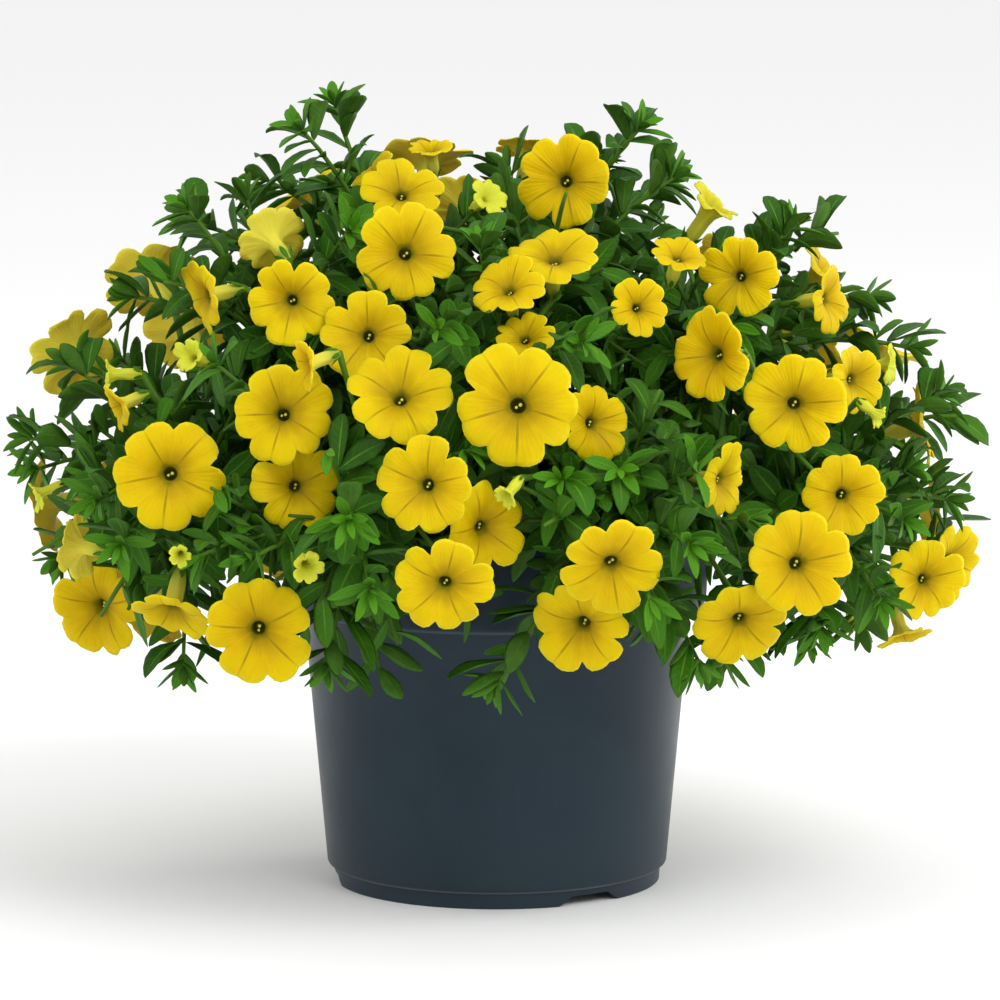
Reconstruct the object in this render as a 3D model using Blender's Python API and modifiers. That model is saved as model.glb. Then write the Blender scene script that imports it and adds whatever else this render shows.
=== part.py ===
"""A calibrachoa in its nursery pot, built as it grows: a turned plastic pot, the soil, leafy heads of
stems rooted in the soil, and trusses of trumpet-shaped blooms standing out of the foliage.

Metres, +Z up, the viewer at -Y. The origin is the centre of the pot's foot, on the ground.
"""

import math
import random
from collections import namedtuple

import bmesh
import bpy
from mathutils import Matrix, Vector
from mathutils.bvhtree import BVHTree

MM = 0.001

# The pot: a 14 cm nursery pot, turned about Z
POT_HEIGHT = 124 * MM
RIM_RADIUS = 70.3 * MM
BAND_BOTTOM_RADIUS = 68.6 * MM
BAND_BOTTOM = 93.4 * MM
BODY_TOP_RADIUS = 63.6 * MM
BODY_BOTTOM_RADIUS = 55.8 * MM
FOOT_RADIUS = 53.6 * MM
FOOT_HEIGHT = 5.5 * MM
FLOOR_HEIGHT = 4.0 * MM
WALL = 1.6 * MM
POT_SIDES = 32
NOTCH_WIDTH = 20 * MM
NOTCH_HEIGHT = 3.2 * MM
NOTCH_ANGLES = (-55, 65, 185)
DRAIN_RADIUS = 4 * MM
DRAIN_RING = 38 * MM

# The soil, a plug with holes where the stems stand
SOIL_TOP = 113 * MM
SOIL_BOTTOM = 8 * MM
SOIL_GAP = 0.5 * MM
SOIL_SIDES = 32
HOLE_RADIUS = 2.2 * MM
HOLE_DEPTH = 9 * MM
OVER_RIM = 68 * MM

# The photograph's camera, in metres and pixels of its 1000 x 1000 frame
CAMERA = Vector((0.001, -2.5006, 0.5079))
AIM = Vector((0.001, 0.0188, 0.1229))
PHOTO_MIDDLE = 500
FOCAL_PIXELS = 7722
PIXEL = 0.33 * MM

# The mound: half widths of the dome that the blooms and the shoot tips lie on
MOUND_CENTRE = Vector((0.0, 0.0, 0.118))
MOUND_X = 0.153
MOUND_Y = 0.147
MOUND_BACK = 0.154
WIDEST_TIP = 0.152
MOUND_UP = 0.122
MOUND_DOWN = 0.052

# Leafy heads: rings of (count, first azimuth, height angle, distance from the middle, core radius)
HEAD_MIDDLE = Vector((0.0, 0.0, 0.125))
HEAD_RINGS = (
    (3, 30, 66, 0.074, 0.015),
    (5, 0, 34, 0.088, 0.016),
    (8, 20, 3, 0.106, 0.015),
)

# Blooms that the photograph shows, each by the pixel of its middle, its width in pixels, where it faces
# (turn to the right and tilt up, in degrees, from the viewer), how far it opens and how deep it sits
Sight = namedtuple("Sight", "u v width turn tilt open sink")
SEEN_BLOOMS = (
    Sight(407, 251, 98, 8, 18, 1.0, -6),
    Sight(518, 405, 118, 0, 10, 1.0, -10),
    Sight(168, 474, 106, -4, 8, 1.0, -6),
    Sight(258, 631, 106, 0, 0, 1.0, -4),
    Sight(400, 393, 100, 0, 36, 1.0, -4),
    Sight(424, 485, 94, -14, 8, 1.0, -8),
    Sight(444, 587, 92, -4, -12, 1.0, -8),
    Sight(612, 569, 100, 4, -20, 1.0, -12),
    Sight(580, 628, 98, -16, -14, 1.0, 4),
    Sight(795, 405, 96, 2, 2, 1.0, -10),
    Sight(844, 496, 84, 10, 2, 1.0, -2),
    Sight(800, 564, 100, 14, 6, 1.0, -12),
    Sight(741, 625, 92, 8, -22, 1.0, -2),
    Sight(564, 180, 94, -8, 12, 1.0, -4),
    Sight(290, 301, 84, -8, 4, 1.0, -8),
    Sight(710, 355, 92, -38, 6, 1.0, -6),
    Sight(738, 277, 80, -14, 6, 1.0, 2),
    Sight(640, 307, 62, 20, 14, 0.9, -2),
    Sight(597, 422, 80, 34, 12, 0.95, 4),
    Sight(508, 285, 72, -12, 52, 1.0, 0),
    Sight(555, 252, 88, 6, 62, 1.0, 0),
    Sight(367, 335, 88, -5, 14, 1.0, 12),
    Sight(283, 413, 96, 0, 14, 1.0, 2),
    Sight(297, 487, 88, 10, 6, 1.0, 14),
    Sight(402, 190, 82, 6, 40, 1.0, 4),
    Sight(200, 298, 74, -60, -8, 0.95, 0),
    Sight(95, 610, 98, -32, -14, 1.0, -2),
    Sight(170, 618, 88, -20, -58, 0.9, 6),
    Sight(75, 545, 66, -125, 4, 0.95, 4),
    Sight(928, 580, 80, 26, 4, 1.0, 0),
    Sight(833, 298, 72, 62, 10, 0.95, 0),
    Sight(858, 380, 72, 44, 4, 0.95, 8),
    Sight(728, 480, 74, 56, 2, 0.95, 10),
    Sight(487, 530, 90, 32, -8, 1.0, 8),
    Sight(680, 252, 62, 30, 62, 0.9, 2),
    Sight(270, 238, 68, -150, 24, 1.0, 2),
    Sight(372, 174, 60, -64, 34, 0.95, 4),
    Sight(430, 146, 52, -24, 72, 0.8, 2),
    Sight(490, 196, 46, 44, 30, 0.8, 6),
    Sight(303, 366, 58, -66, -16, 0.8, 4),
    Sight(904, 640, 64, 34, -62, 0.85, 2),
    Sight(852, 632, 46, 8, -74, 0.6, 6),
    Sight(114, 408, 56, -72, -20, 0.8, 4),
    Sight(892, 364, 50, 72, 8, 0.8, 2),
    Sight(525, 335, 64, 0, 40, 0.9, 20),
    Sight(188, 356, 48, -34, 18, 0.6, 2),
    Sight(308, 568, 50, 14, -10, 0.45, -6),
    Sight(107, 374, 48, -82, 2, 0.45, 0),
    Sight(35, 497, 50, -78, -22, 0.45, 0),
    Sight(505, 498, 42, -34, -30, 0.4, -6),
    Sight(180, 556, 38, 0, -6, 0.4, -10),
    Sight(880, 418, 38, 66, -34, 0.4, -4),
)

# Shoot tips that stand out of the mound's outline in the photograph
Tip = namedtuple("Tip", "u v y")
SEEN_TIPS = (
    Tip(352, 100, 10), Tip(300, 128, -20), Tip(440, 142, 20), Tip(246, 196, -10), Tip(186, 208, -30),
    Tip(130, 296, -10), Tip(72, 366, 0), Tip(14, 438, -20), Tip(24, 470, 10), Tip(640, 128, 10),
    Tip(676, 176, -30), Tip(735, 214, 10), Tip(792, 226, -20), Tip(836, 250, 0), Tip(876, 290, 10),
    Tip(912, 348, -10), Tip(974, 416, 0), Tip(942, 396, -30), Tip(994, 546, -20), Tip(986, 622, 10),
    Tip(950, 500, -40), Tip(60, 560, 20), Tip(500, 200, 0), Tip(592, 160, 30), Tip(910, 470, -50),
)

# Leafy tips in front of the blooms, which the photograph shows as bright rosettes
FRONT_TIPS = (
    Tip(436, 330, -8), Tip(326, 452, -12), Tip(348, 520, -12), Tip(590, 336, -8), Tip(690, 545, -14),
    Tip(545, 525, -10), Tip(700, 470, -4), Tip(780, 262, -10), Tip(560, 270, -6), Tip(215, 360, -6),
    Tip(500, 470, 0), Tip(650, 600, -10), Tip(640, 640, -4), Tip(370, 590, -4), Tip(120, 545, -8),
    Tip(100, 500, -8), Tip(880, 600, -8), Tip(905, 520, -8), Tip(620, 470, 0), Tip(200, 556, -2),
    Tip(230, 470, 0), Tip(470, 450, 4), Tip(350, 230, 0), Tip(660, 390, 0), Tip(560, 480, 0),
    Tip(810, 640, 0), Tip(250, 560, 2),
)

# The rest of the mound, which the photograph doesn't show: how many blooms and tips, and how far apart
BACK_BLOOMS = 32
BACK_AZIMUTHS = (72, 288)
BACK_SPACING = 0.036
RULE_TIPS = 63
TIP_SPACING = 0.024
AZIMUTH_STEP = 0.75488
HEIGHT_STEP = 0.56984
BLOOM_NODES = 42
MOST_IN_TRUSS = 3

# A bloom, in shares of its radius: its lip dips at five creases and a little at each petal's middle
PETALS = 5
LIP_POINTS = 20
LIP_REACH = (0.86, 1.0, 0.94, 1.0)
LIP_LIFT = (0.05, 0.0, -0.03, 0.0)
CLOSED_WIDTH = 0.35
CREASE_FOLD = 0.2
THROAT_DEPTH = 0.26
FOLDED_DEPTH = 0.5
MOUTH = 0.2
MOUTH_BACK = 0.26
PIT_DEPTH = 0.3
TUBE_LENGTH = 1.25
FOLDED_LENGTH = 0.3
LIMB_THICKNESS = 1.1 * MM
TUBE_END_RADIUS = 1.3 * MM

# Stalks, stems and leaves
PEDICEL_RADIUS = 0.9 * MM
HUB_RADIUS = 2.4 * MM
SEAT_GAP = 0.3 * MM
SHOOT_RADIUS = 1.1 * MM
STEM_RADIUS = 1.7 * MM
STEM_RINGS = (16 * MM, 30 * MM, 42 * MM)
LEAF_LENGTH = 19 * MM
LEAF_WIDTH = 8.0 * MM
LEAF_THICKNESS = 1.0 * MM
WIDEST = 0.58
TIP_LEAF = 9 * MM
TIP_WIDENING = 3.2
TIP_FLATTENING = 0.6

# A shoot's stations along its length, and its leaves
LOW = 0.3
NODES = (0.52, 0.84)
NODE_LENGTH = 2.2 * MM
SIDES_WITH_LEAVES = 2

# How often a piece is moved before it is given up, and how wide the moves grow
SETTLING_STEPS = 60
TRUSS_TRIES = 80
SHOOT_TRIES = 30

GREEN = (0.045, 0.16, 0.012)
YELLOW = (0.78, 0.56, 0.006)
POT_BLUE = (0.022, 0.033, 0.046)
SOIL_BROWN = (0.03, 0.018, 0.011)

Bloom = namedtuple("Bloom", "middle axis radius open roll")
Head = namedtuple("Head", "middle radius out")
Shoot = namedtuple("Shoot", "head start bend tip")


# Where things grow

def sight_line(u, v):
    """The direction from the camera through a pixel of the photograph."""
    forward = (AIM - CAMERA).normalized()
    right = forward.cross(Vector((0, 0, 1))).normalized()
    up = right.cross(forward)
    return forward + right * ((u - PHOTO_MIDDLE) / FOCAL_PIXELS) + up * ((PHOTO_MIDDLE - v) / FOCAL_PIXELS)


def seen_at_depth(u, v, y):
    """The point at depth y that the photograph shows at a pixel."""
    ray = sight_line(u, v)
    return CAMERA + ray * ((y - CAMERA.y) / ray.y)


def seen_on_mound(u, v):
    """The point of the mound's front that the photograph shows at a pixel."""
    y = 0.0
    for _ in range(6):
        point = seen_at_depth(u, v, y) - MOUND_CENTRE
        tall = MOUND_UP if point.z > 0 else MOUND_DOWN
        left = 1 - (point.x / MOUND_X) ** 2 - (point.z / tall) ** 2
        y = -MOUND_Y * math.sqrt(max(0.0, left))
    return seen_at_depth(u, v, y)


def on_mound(azimuth, height_angle, scale=1.0):
    """A point of the mound. Azimuth 0 is towards the viewer, 90 to the right."""
    a, h = math.radians(azimuth), math.radians(height_angle)
    tall = MOUND_UP if h > 0 else MOUND_DOWN
    deep = MOUND_Y if math.cos(a) > 0 else MOUND_BACK
    return MOUND_CENTRE + scale * Vector((
        MOUND_X * math.cos(h) * math.sin(a),
        -deep * math.cos(h) * math.cos(a),
        tall * math.sin(h),
    ))


def mound_normal(point):
    """The way out of the mound at a point."""
    p = point - MOUND_CENTRE
    tall = MOUND_UP if p.z > 0 else MOUND_DOWN
    return Vector((p.x / MOUND_X ** 2, p.y / MOUND_Y ** 2, 0.6 * p.z / tall ** 2)).normalized()


def facing(turn, tilt):
    """The unit vector turned right and tilted up, in degrees, from the way to the viewer."""
    a, h = math.radians(turn), math.radians(tilt)
    return Vector((math.sin(a) * math.cos(h), -math.cos(a) * math.cos(h), math.sin(h)))


def limb_width(bloom):
    """The radius of a bloom's limb, which is narrower the less it opens."""
    return bloom.radius * (CLOSED_WIDTH + (1 - CLOSED_WIDTH) * bloom.open)


def tube_end(bloom):
    """The middle of the tube's end, where the stalk begins."""
    return bloom.middle - bloom.axis * (TUBE_LENGTH + FOLDED_LENGTH * (1 - bloom.open)) * bloom.radius


def funnel_points(bloom):
    """Points spread over a bloom's limb and tube, to test it against others."""
    frame = turned_to(bloom.axis)
    points = [bloom.middle - bloom.axis * bloom.radius * step for step in (0.4, 0.8, 1.2)]
    for share in (0.35, 0.7, 1.0):
        for k in range(12):
            a = k * math.tau / 12
            flat = Vector((math.cos(a), math.sin(a), 0)) * bloom.radius * share
            flat.z = (share - 1) * 0.3 * bloom.radius
            points.append(bloom.middle + frame @ flat)
    return points


def in_bloom(point, bloom, margin):
    """Whether a point lies within a margin of a bloom's limb or tube."""
    away = point - bloom.middle
    along = away.dot(bloom.axis)
    across = (away - bloom.axis * along).length
    width = limb_width(bloom)
    limb = (across / width - 1) * 0.3 * bloom.radius
    on_limb = across < width + margin and abs(along - limb) < margin + 1.2 * MM
    length = TUBE_LENGTH * bloom.radius
    on_tube = across < 0.2 * bloom.radius + margin and -length < along < 0
    return on_limb or on_tube


def crossing(first, second, margin):
    return any(in_bloom(p, second, margin) for p in funnel_points(first)) or any(
        in_bloom(p, first, margin) for p in funnel_points(second)
    )


def turned_to(axis):
    """A rotation that carries +Z to the axis."""
    return axis.to_track_quat("Z", "Y").to_matrix()


def plan_heads():
    """The middles of the leafy heads, ring above ring."""
    heads = []
    for count, first, height_angle, distance, radius in HEAD_RINGS:
        for k in range(count):
            a, h = math.radians(first + k * 360 / count), math.radians(height_angle)
            out = Vector((math.sin(a) * math.cos(h), -math.cos(a) * math.cos(h), math.sin(h)))
            heads.append(Head(HEAD_MIDDLE + out * distance, radius, out))
    return heads


def settle(bloom, others, heads, step):
    """The bloom, moved along a line in growing steps until it crosses no other bloom, core or pot."""
    for k in range(SETTLING_STEPS):
        move = step * ((k + 1) // 2) * (1 if k % 2 else -1)
        moved = bloom._replace(middle=bloom.middle + move)
        points = funnel_points(moved)
        free = not any(crossing(moved, other, 1.2 * MM) for other in others)
        free = free and not any((p - h.middle).length < h.radius + 2 * MM for p in points for h in heads)
        free = free and not any(
            math.hypot(p.x, p.y) < RIM_RADIUS + 4 * MM and p.z < POT_HEIGHT + 3 * MM for p in points
        )
        if free:
            return moved
    return None


def plan_blooms(heads):
    """Every bloom: first those that the photograph shows, then the rest of the mound by a rule."""
    rng = random.Random(41)
    blooms = []
    for s in SEEN_BLOOMS:
        ray = sight_line(s.u, s.v).normalized()
        bloom = Bloom(
            seen_on_mound(s.u, s.v) + ray * s.sink * MM,
            facing(s.turn, s.tilt),
            s.width * PIXEL / 2,
            s.open,
            rng.uniform(0, 72),
        )
        bloom = settle(bloom, blooms, heads, -ray * 2 * MM)
        if bloom:
            blooms.append(bloom)
    tries = 0
    wanted = len(blooms) + BACK_BLOOMS
    while len(blooms) < wanted and tries < 4000:
        tries += 1
        azimuth = rng.uniform(*BACK_AZIMUTHS)
        middle = on_mound(azimuth, math.degrees(math.asin(rng.uniform(-0.75, 0.97))), rng.uniform(0.96, 1.04))
        if any((middle - b.middle).length < BACK_SPACING for b in blooms):
            continue
        lean = Vector((rng.uniform(-0.5, 0.5), rng.uniform(-0.5, 0.5), rng.uniform(-0.25, 0.45)))
        axis = (mound_normal(middle) + lean).normalized()
        radius = rng.uniform(13, 17) * MM
        bloom = Bloom(middle, axis, radius, rng.choice((1, 1, 1, 0.9, 0.5)), rng.uniform(0, 72))
        bloom = settle(bloom, blooms, heads, mound_normal(middle) * 2 * MM)
        if bloom:
            blooms.append(bloom)
    return blooms


def nearest_head(point, heads):
    return min(range(len(heads)), key=lambda k: (point - heads[k].middle).length)


def plan_shoots(heads, blooms):
    """The leafy shoots, each from a head's core to a tip on the mound or standing out of it."""
    rng = random.Random(7)
    tips = [seen_at_depth(t.u, t.v, t.y * MM) for t in SEEN_TIPS]
    for t in FRONT_TIPS:
        tips.append(seen_on_mound(t.u, t.v) + sight_line(t.u, t.v).normalized() * t.y * MM)
    spiral = 0
    added = 0
    while added < RULE_TIPS and spiral < 900:
        height = math.degrees(math.asin(-0.7 + 1.68 * ((spiral * HEIGHT_STEP) % 1.0)))
        tip = on_mound(360 * spiral * AZIMUTH_STEP, height, rng.uniform(0.93, 1.08))
        spiral += 1
        crowded = any((tip - other).length < TIP_SPACING for other in tips)
        if crowded or any(in_bloom(tip, b, 4 * MM) for b in blooms):
            continue
        tips.append(tip)
        added += 1
    shoots = []
    for tip in tips:
        tip.x = max(-WIDEST_TIP, min(WIDEST_TIP, tip.x))
        index = nearest_head(tip, heads)
        head = heads[index]
        out = (tip - head.middle).normalized()
        start = head.middle + out * head.radius * 0.55
        bend = (start + tip) / 2 + Vector((0, 0, 0.16 * (tip - start).length))
        shoots.append(Shoot(index, start, bend, tip))
    return shoots


def group_blooms(blooms, most):
    """Blooms whose tubes end near each other share a truss, until no more than so many trusses are left."""
    ends = [b.middle - b.axis * TUBE_LENGTH * b.radius for b in blooms]
    groups = [[k] for k in range(len(blooms))]
    pairs = sorted(
        ((ends[i] - ends[j]).length, i, j) for i in range(len(blooms)) for j in range(i + 1, len(blooms))
    )
    for _, i, j in pairs:
        if len(groups) <= most:
            break
        first = next(g for g in groups if i in g)
        second = next(g for g in groups if j in g)
        if first is not second and len(first) + len(second) <= MOST_IN_TRUSS:
            first.extend(second)
            groups.remove(second)
    return groups


def along(shoot, t):
    """A point of the shoot's curve, 0 at its start and 1 at its tip."""
    return shoot.start.lerp(shoot.bend, t).lerp(shoot.bend.lerp(shoot.tip, t), t)


# Meshes

def new_object(name, bm, collection):
    mesh = bpy.data.meshes.new(name)
    bm.to_mesh(mesh)
    bm.free()
    obj = bpy.data.objects.new(name, mesh)
    collection.objects.link(obj)
    return obj


def material(name, colour, roughness):
    made = bpy.data.materials.new(name)
    made.use_nodes = True
    shader = made.node_tree.nodes["Principled BSDF"]
    shader.inputs["Base Color"].default_value = (*colour, 1.0)
    shader.inputs["Roughness"].default_value = roughness
    shader.inputs["Metallic"].default_value = 0.0
    return made


def hull(points):
    """A search tree of the convex hull of some points, to test what a piece would cross."""
    bm = bmesh.new()
    for point in points:
        bm.verts.new(point)
    bmesh.ops.convex_hull(bm, input=bm.verts)
    tree = BVHTree.FromBMesh(bm)
    bm.free()
    return tree


def clear(tree, others):
    return not any(tree.overlap(other) for other in others)


def spokes(face, point, direction, radius):
    """Where a face's corners go when it is carried to a point and turned to a direction."""
    centre = face.calc_center_median()
    turn = face.normal.rotation_difference(direction)
    placed = []
    for vert in face.verts:
        spoke = turn @ (vert.co - centre)
        spoke -= direction * spoke.dot(direction)
        placed.append(point + spoke.normalized() * radius)
    return placed


def extruded(bm, face, corners):
    """Extrudes a face, puts the new face's corners where they are told, and returns it."""
    face = bmesh.ops.extrude_discrete_faces(bm, faces=[face])["faces"][0]
    for vert, corner in zip(face.verts, corners):
        vert.co = corner
    face.normal_update()
    return face


def grown(bm, face, point, direction, radius):
    """Extrudes a face to a stem's next section, square to its direction."""
    face.normal_update()
    return extruded(bm, face, spokes(face, point, direction, radius))


def pointed(bm, face, tip):
    """Closes a face to a point."""
    poked = bmesh.ops.poke(bm, faces=[face])
    poked["verts"][0].co = tip


def face_outward(bm, faces):
    """Turns the faces of one closed skin outward."""
    bmesh.ops.recalc_face_normals(bm, faces=faces)
    volume = 0.0
    for face in faces:
        first, *rest = [vert.co for vert in face.verts]
        for second, third in zip(rest, rest[1:]):
            volume += first.dot(second.cross(third))
    if volume < 0:
        bmesh.ops.reverse_faces(bm, faces=faces)


def bridged(bm, first, second):
    """Lofts a tube between two outward three-cornered faces, in the turn that twists it least."""
    near, far = list(first.verts), list(second.verts)
    bmesh.ops.delete(bm, geom=[first, second], context="FACES_ONLY")

    def twist(m):
        return sum((near[k].co - far[(m - k) % 3].co).length for k in range(3))

    m = min(range(3), key=twist)
    for k in range(3):
        bm.faces.new((near[k], near[(k + 1) % 3], far[(m - k - 1) % 3], far[(m - k) % 3]))


def cut(obj, cutters, collection):
    """Takes a list of cutter meshes out of the object."""
    for bm in cutters:
        cutter = new_object("cutter", bm, collection)
        cutter.hide_render = True
        cutter.display_type = "WIRE"
        difference = obj.modifiers.new("Cut", "BOOLEAN")
        difference.operation = "DIFFERENCE"
        difference.object = cutter
    bpy.context.view_layer.update()
    return obj


def turned(name, profile, sides, collection):
    """A closed profile of (radius, height) points, on the axis at both ends, turned about Z."""
    bm = bmesh.new()
    points = [bm.verts.new((r, 0, z)) for r, z in profile]
    for lower, upper in zip(points, points[1:]):
        bm.edges.new((lower, upper))
    obj = new_object(name, bm, collection)
    screw = obj.modifiers.new("Screw", "SCREW")
    screw.steps = screw.render_steps = sides
    screw.use_merge_vertices = True
    screw.merge_threshold = 0.0001
    return obj


def span(bm, lip, ring):
    """Triangles from the lip to a ring of one point a petal, four to each ring point and one between."""
    for j, near in enumerate(ring):
        for k in range(-2, 2):
            bm.faces.new((near, lip[(4 * j + k) % LIP_POINTS], lip[(4 * j + k + 1) % LIP_POINTS]))
        bm.faces.new((near, lip[(4 * j + 2) % LIP_POINTS], ring[(j + 1) % PETALS]))


def regular_ring(bm, count, radius, height):
    """A ring of points whose first lies on the first crease of the lip."""
    ring = bmesh.ops.create_circle(bm, segments=count, radius=radius)["verts"]
    for k, vert in enumerate(ring):
        a = k * math.tau / count
        vert.co = Vector((math.cos(a) * radius, math.sin(a) * radius, height))
    return ring


def narrow(bm, five, three):
    """Lofts a ring of five points to one of three."""
    pairs = ((0, 0), (1, 0), (1, 1), (2, 1), (3, 2), (4, 2), (5, 3))
    for (a, b), (c, d) in zip(pairs, pairs[1:]):
        if a != c and b != d:
            bm.faces.new((five[a % 5], five[c % 5], three[b % 3]))
            bm.faces.new((five[c % 5], three[d % 3], three[b % 3]))
        elif a != c:
            bm.faces.new((five[a % 5], five[c % 5], three[b % 3]))
        else:
            bm.faces.new((five[a % 5], three[d % 3], three[b % 3]))


def add_trumpet(bm, bloom):
    """A scalloped limb of five notched petals, a sunken throat, and a tube, whose end it returns."""
    r = bloom.radius
    width = limb_width(bloom)
    fold = 1 - bloom.open
    lip = bmesh.ops.create_circle(bm, segments=LIP_POINTS, radius=1.0)["verts"]
    for k, vert in enumerate(lip):
        a = k * math.tau / LIP_POINTS
        crease = k % 4 == 0
        reach = (LIP_REACH[k % 4] - CREASE_FOLD * fold * crease) * width
        lift = LIP_LIFT[k % 4] + CREASE_FOLD * fold * (not crease)
        vert.co = Vector((math.cos(a) * reach, math.sin(a) * reach, lift * r))
    depth = (THROAT_DEPTH + FOLDED_DEPTH * fold) * r
    mouth = regular_ring(bm, PETALS, MOUTH * r, -depth)
    back = regular_ring(bm, PETALS, MOUTH_BACK * r, -depth - LIMB_THICKNESS)
    end = regular_ring(bm, 3, TUBE_END_RADIUS, -TUBE_LENGTH * r - FOLDED_LENGTH * fold * r)
    pit = bm.verts.new((0, 0, -depth - PIT_DEPTH * r))
    span(bm, lip, mouth)
    span(bm, lip, back)
    for k in range(PETALS):
        bm.faces.new((mouth[k], mouth[(k + 1) % PETALS], pit))
    narrow(bm, back, end)
    cap = bm.faces.new(end)
    place = Matrix.Translation(bloom.middle) @ turned_to(bloom.axis).to_4x4()
    place = place @ Matrix.Rotation(math.radians(bloom.roll), 4, "Z")
    bmesh.ops.transform(bm, matrix=place, verts=lip + mouth + back + end + [pit])
    return cap


def tree_of(bm):
    return BVHTree.FromBMesh(bm)


# Parts

def make_pot(collection, cutters, finish):
    """The turned pot with its deep collar, stepped foot, foot notches and drain holes."""
    shelf = BAND_BOTTOM - 1.2 * MM
    profile = (
        (0, FLOOR_HEIGHT + WALL),
        (BODY_BOTTOM_RADIUS - WALL - 2 * MM, FLOOR_HEIGHT + WALL),
        (BODY_TOP_RADIUS - WALL, BAND_BOTTOM + 1.5 * MM),
        (BAND_BOTTOM_RADIUS - WALL, BAND_BOTTOM + 4.5 * MM),
        (RIM_RADIUS - 1.6 * WALL, POT_HEIGHT - 0.6 * MM),
        (RIM_RADIUS - 1.2 * WALL, POT_HEIGHT),
        (RIM_RADIUS - 0.3 * WALL, POT_HEIGHT),
        (RIM_RADIUS, POT_HEIGHT - 0.8 * MM),
        (BAND_BOTTOM_RADIUS, shelf + 1.0 * MM),
        (BAND_BOTTOM_RADIUS - 1.5 * MM, shelf),
        (BODY_TOP_RADIUS, shelf - 0.6 * MM),
        (BODY_BOTTOM_RADIUS, FOOT_HEIGHT + 0.5 * MM),
        (FOOT_RADIUS + 0.4 * MM, FOOT_HEIGHT - 0.6 * MM),
        (FOOT_RADIUS, 0),
        (FOOT_RADIUS - 2.4 * MM, 0),
        (FOOT_RADIUS - 3.4 * MM, FLOOR_HEIGHT),
        (0, FLOOR_HEIGHT),
    )
    pot = turned("pot", profile, POT_SIDES, collection)
    pot.data.materials.append(finish)
    cutting = []
    for angle in NOTCH_ANGLES:
        place = Matrix.Rotation(math.radians(angle), 4, "Z") @ Matrix.Translation((FOOT_RADIUS, 0, 0))
        bm = bmesh.new()
        bmesh.ops.create_cube(bm, size=1, matrix=place @ Matrix.Diagonal((12 * MM, NOTCH_WIDTH, 1, 1)))
        for vert in bm.verts:
            vert.co.z = NOTCH_HEIGHT if vert.co.z > 0 else -2 * MM
        cutting.append(bm)
    for k in range(4):
        turn = Matrix.Rotation(k * math.pi / 2 + 0.4, 4, "Z")
        place = turn @ Matrix.Translation((DRAIN_RING, 0, FLOOR_HEIGHT))
        bm = bmesh.new()
        bmesh.ops.create_cone(
            bm, cap_ends=True, segments=10, radius1=DRAIN_RADIUS, radius2=DRAIN_RADIUS, depth=12 * MM,
            matrix=place,
        )
        cutting.append(bm)
    return cut(pot, cutting, cutters)


def stem_foot(head):
    """Where a head's main stem stands in the soil, in turn round the middle."""
    inner, middle, outer = STEM_RINGS
    ring = inner if head.out.z > 0.8 else middle if head.out.z > 0.3 else outer
    flat = Vector((head.out.x, head.out.y, 0)).normalized() * ring
    return Vector((flat.x, flat.y, SOIL_TOP))


def make_soil(collection, cutters, heads, finish):
    """The soil: a plug with a low crown, with a plain hole under each main stem."""
    profile = (
        (0, SOIL_TOP + 1.5 * MM),
        (35 * MM, SOIL_TOP + 1 * MM),
        (BAND_BOTTOM_RADIUS - WALL - 0.3 * SOIL_GAP, SOIL_TOP - 2 * MM),
        (BAND_BOTTOM_RADIUS - WALL - SOIL_GAP, BAND_BOTTOM + 4.9 * MM),
        (BODY_TOP_RADIUS - WALL - SOIL_GAP, BAND_BOTTOM + 1.8 * MM),
        (BODY_BOTTOM_RADIUS - WALL - 2 * MM - SOIL_GAP, SOIL_BOTTOM),
        (0, SOIL_BOTTOM),
    )
    soil = turned("soil", profile, SOIL_SIDES, collection)
    soil.data.materials.append(finish)
    cutting = []
    for head in heads:
        bm = bmesh.new()
        bmesh.ops.create_cone(
            bm, cap_ends=True, segments=5, radius1=HOLE_RADIUS, radius2=HOLE_RADIUS, depth=2 * HOLE_DEPTH,
            matrix=Matrix.Translation(stem_foot(head)),
        )
        cutting.append(bm)
    return cut(soil, cutting, cutters)


def core(bm, head):
    """The dense inside of a head, which its shoots grow out of."""
    bmesh.ops.create_icosphere(
        bm, subdivisions=2, radius=head.radius, matrix=Matrix.Translation(head.middle)
    )
    bm.normal_update()


def core_tree(head):
    bm = bmesh.new()
    core(bm, head)
    tree = tree_of(bm)
    bm.free()
    return tree


def stem_points(head):
    """The main stem from the core's near side: over the rim if it leans that far, to its foot in the soil."""
    foot = stem_foot(head) - Vector((0, 0, HOLE_DEPTH - 1 * MM))
    knee = foot + Vector((0, 0, HOLE_DEPTH + 3 * MM))
    if head.out.z > 0.3:
        return [knee, foot]
    over = Vector((head.out.x, head.out.y, 0)).normalized() * OVER_RIM
    over.z = POT_HEIGHT + 8 * MM
    return [over, knee, foot]


def stem_trees(head, start):
    """Search trees of the main stem's sections, from a start at the core."""
    points = [start] + stem_points(head)
    return [rod_tree(a, b, 1.6 * STEM_RADIUS) for a, b in zip(points, points[1:])]


def rod_tree(start, end, radius):
    """A search tree of a straight stem."""
    bm = bmesh.new()
    way = end - start
    place = Matrix.Translation((start + end) / 2) @ turned_to(way.normalized()).to_4x4()
    bmesh.ops.create_cone(
        bm, cap_ends=True, segments=4, radius1=radius, radius2=radius, depth=way.length, matrix=place
    )
    tree = tree_of(bm)
    bm.free()
    return tree


def face_towards(faces, middle, direction):
    """The face that looks most nearly along a direction from the middle."""
    return max(faces, key=lambda f: (f.calc_center_median() - middle).normalized().dot(direction))


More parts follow.
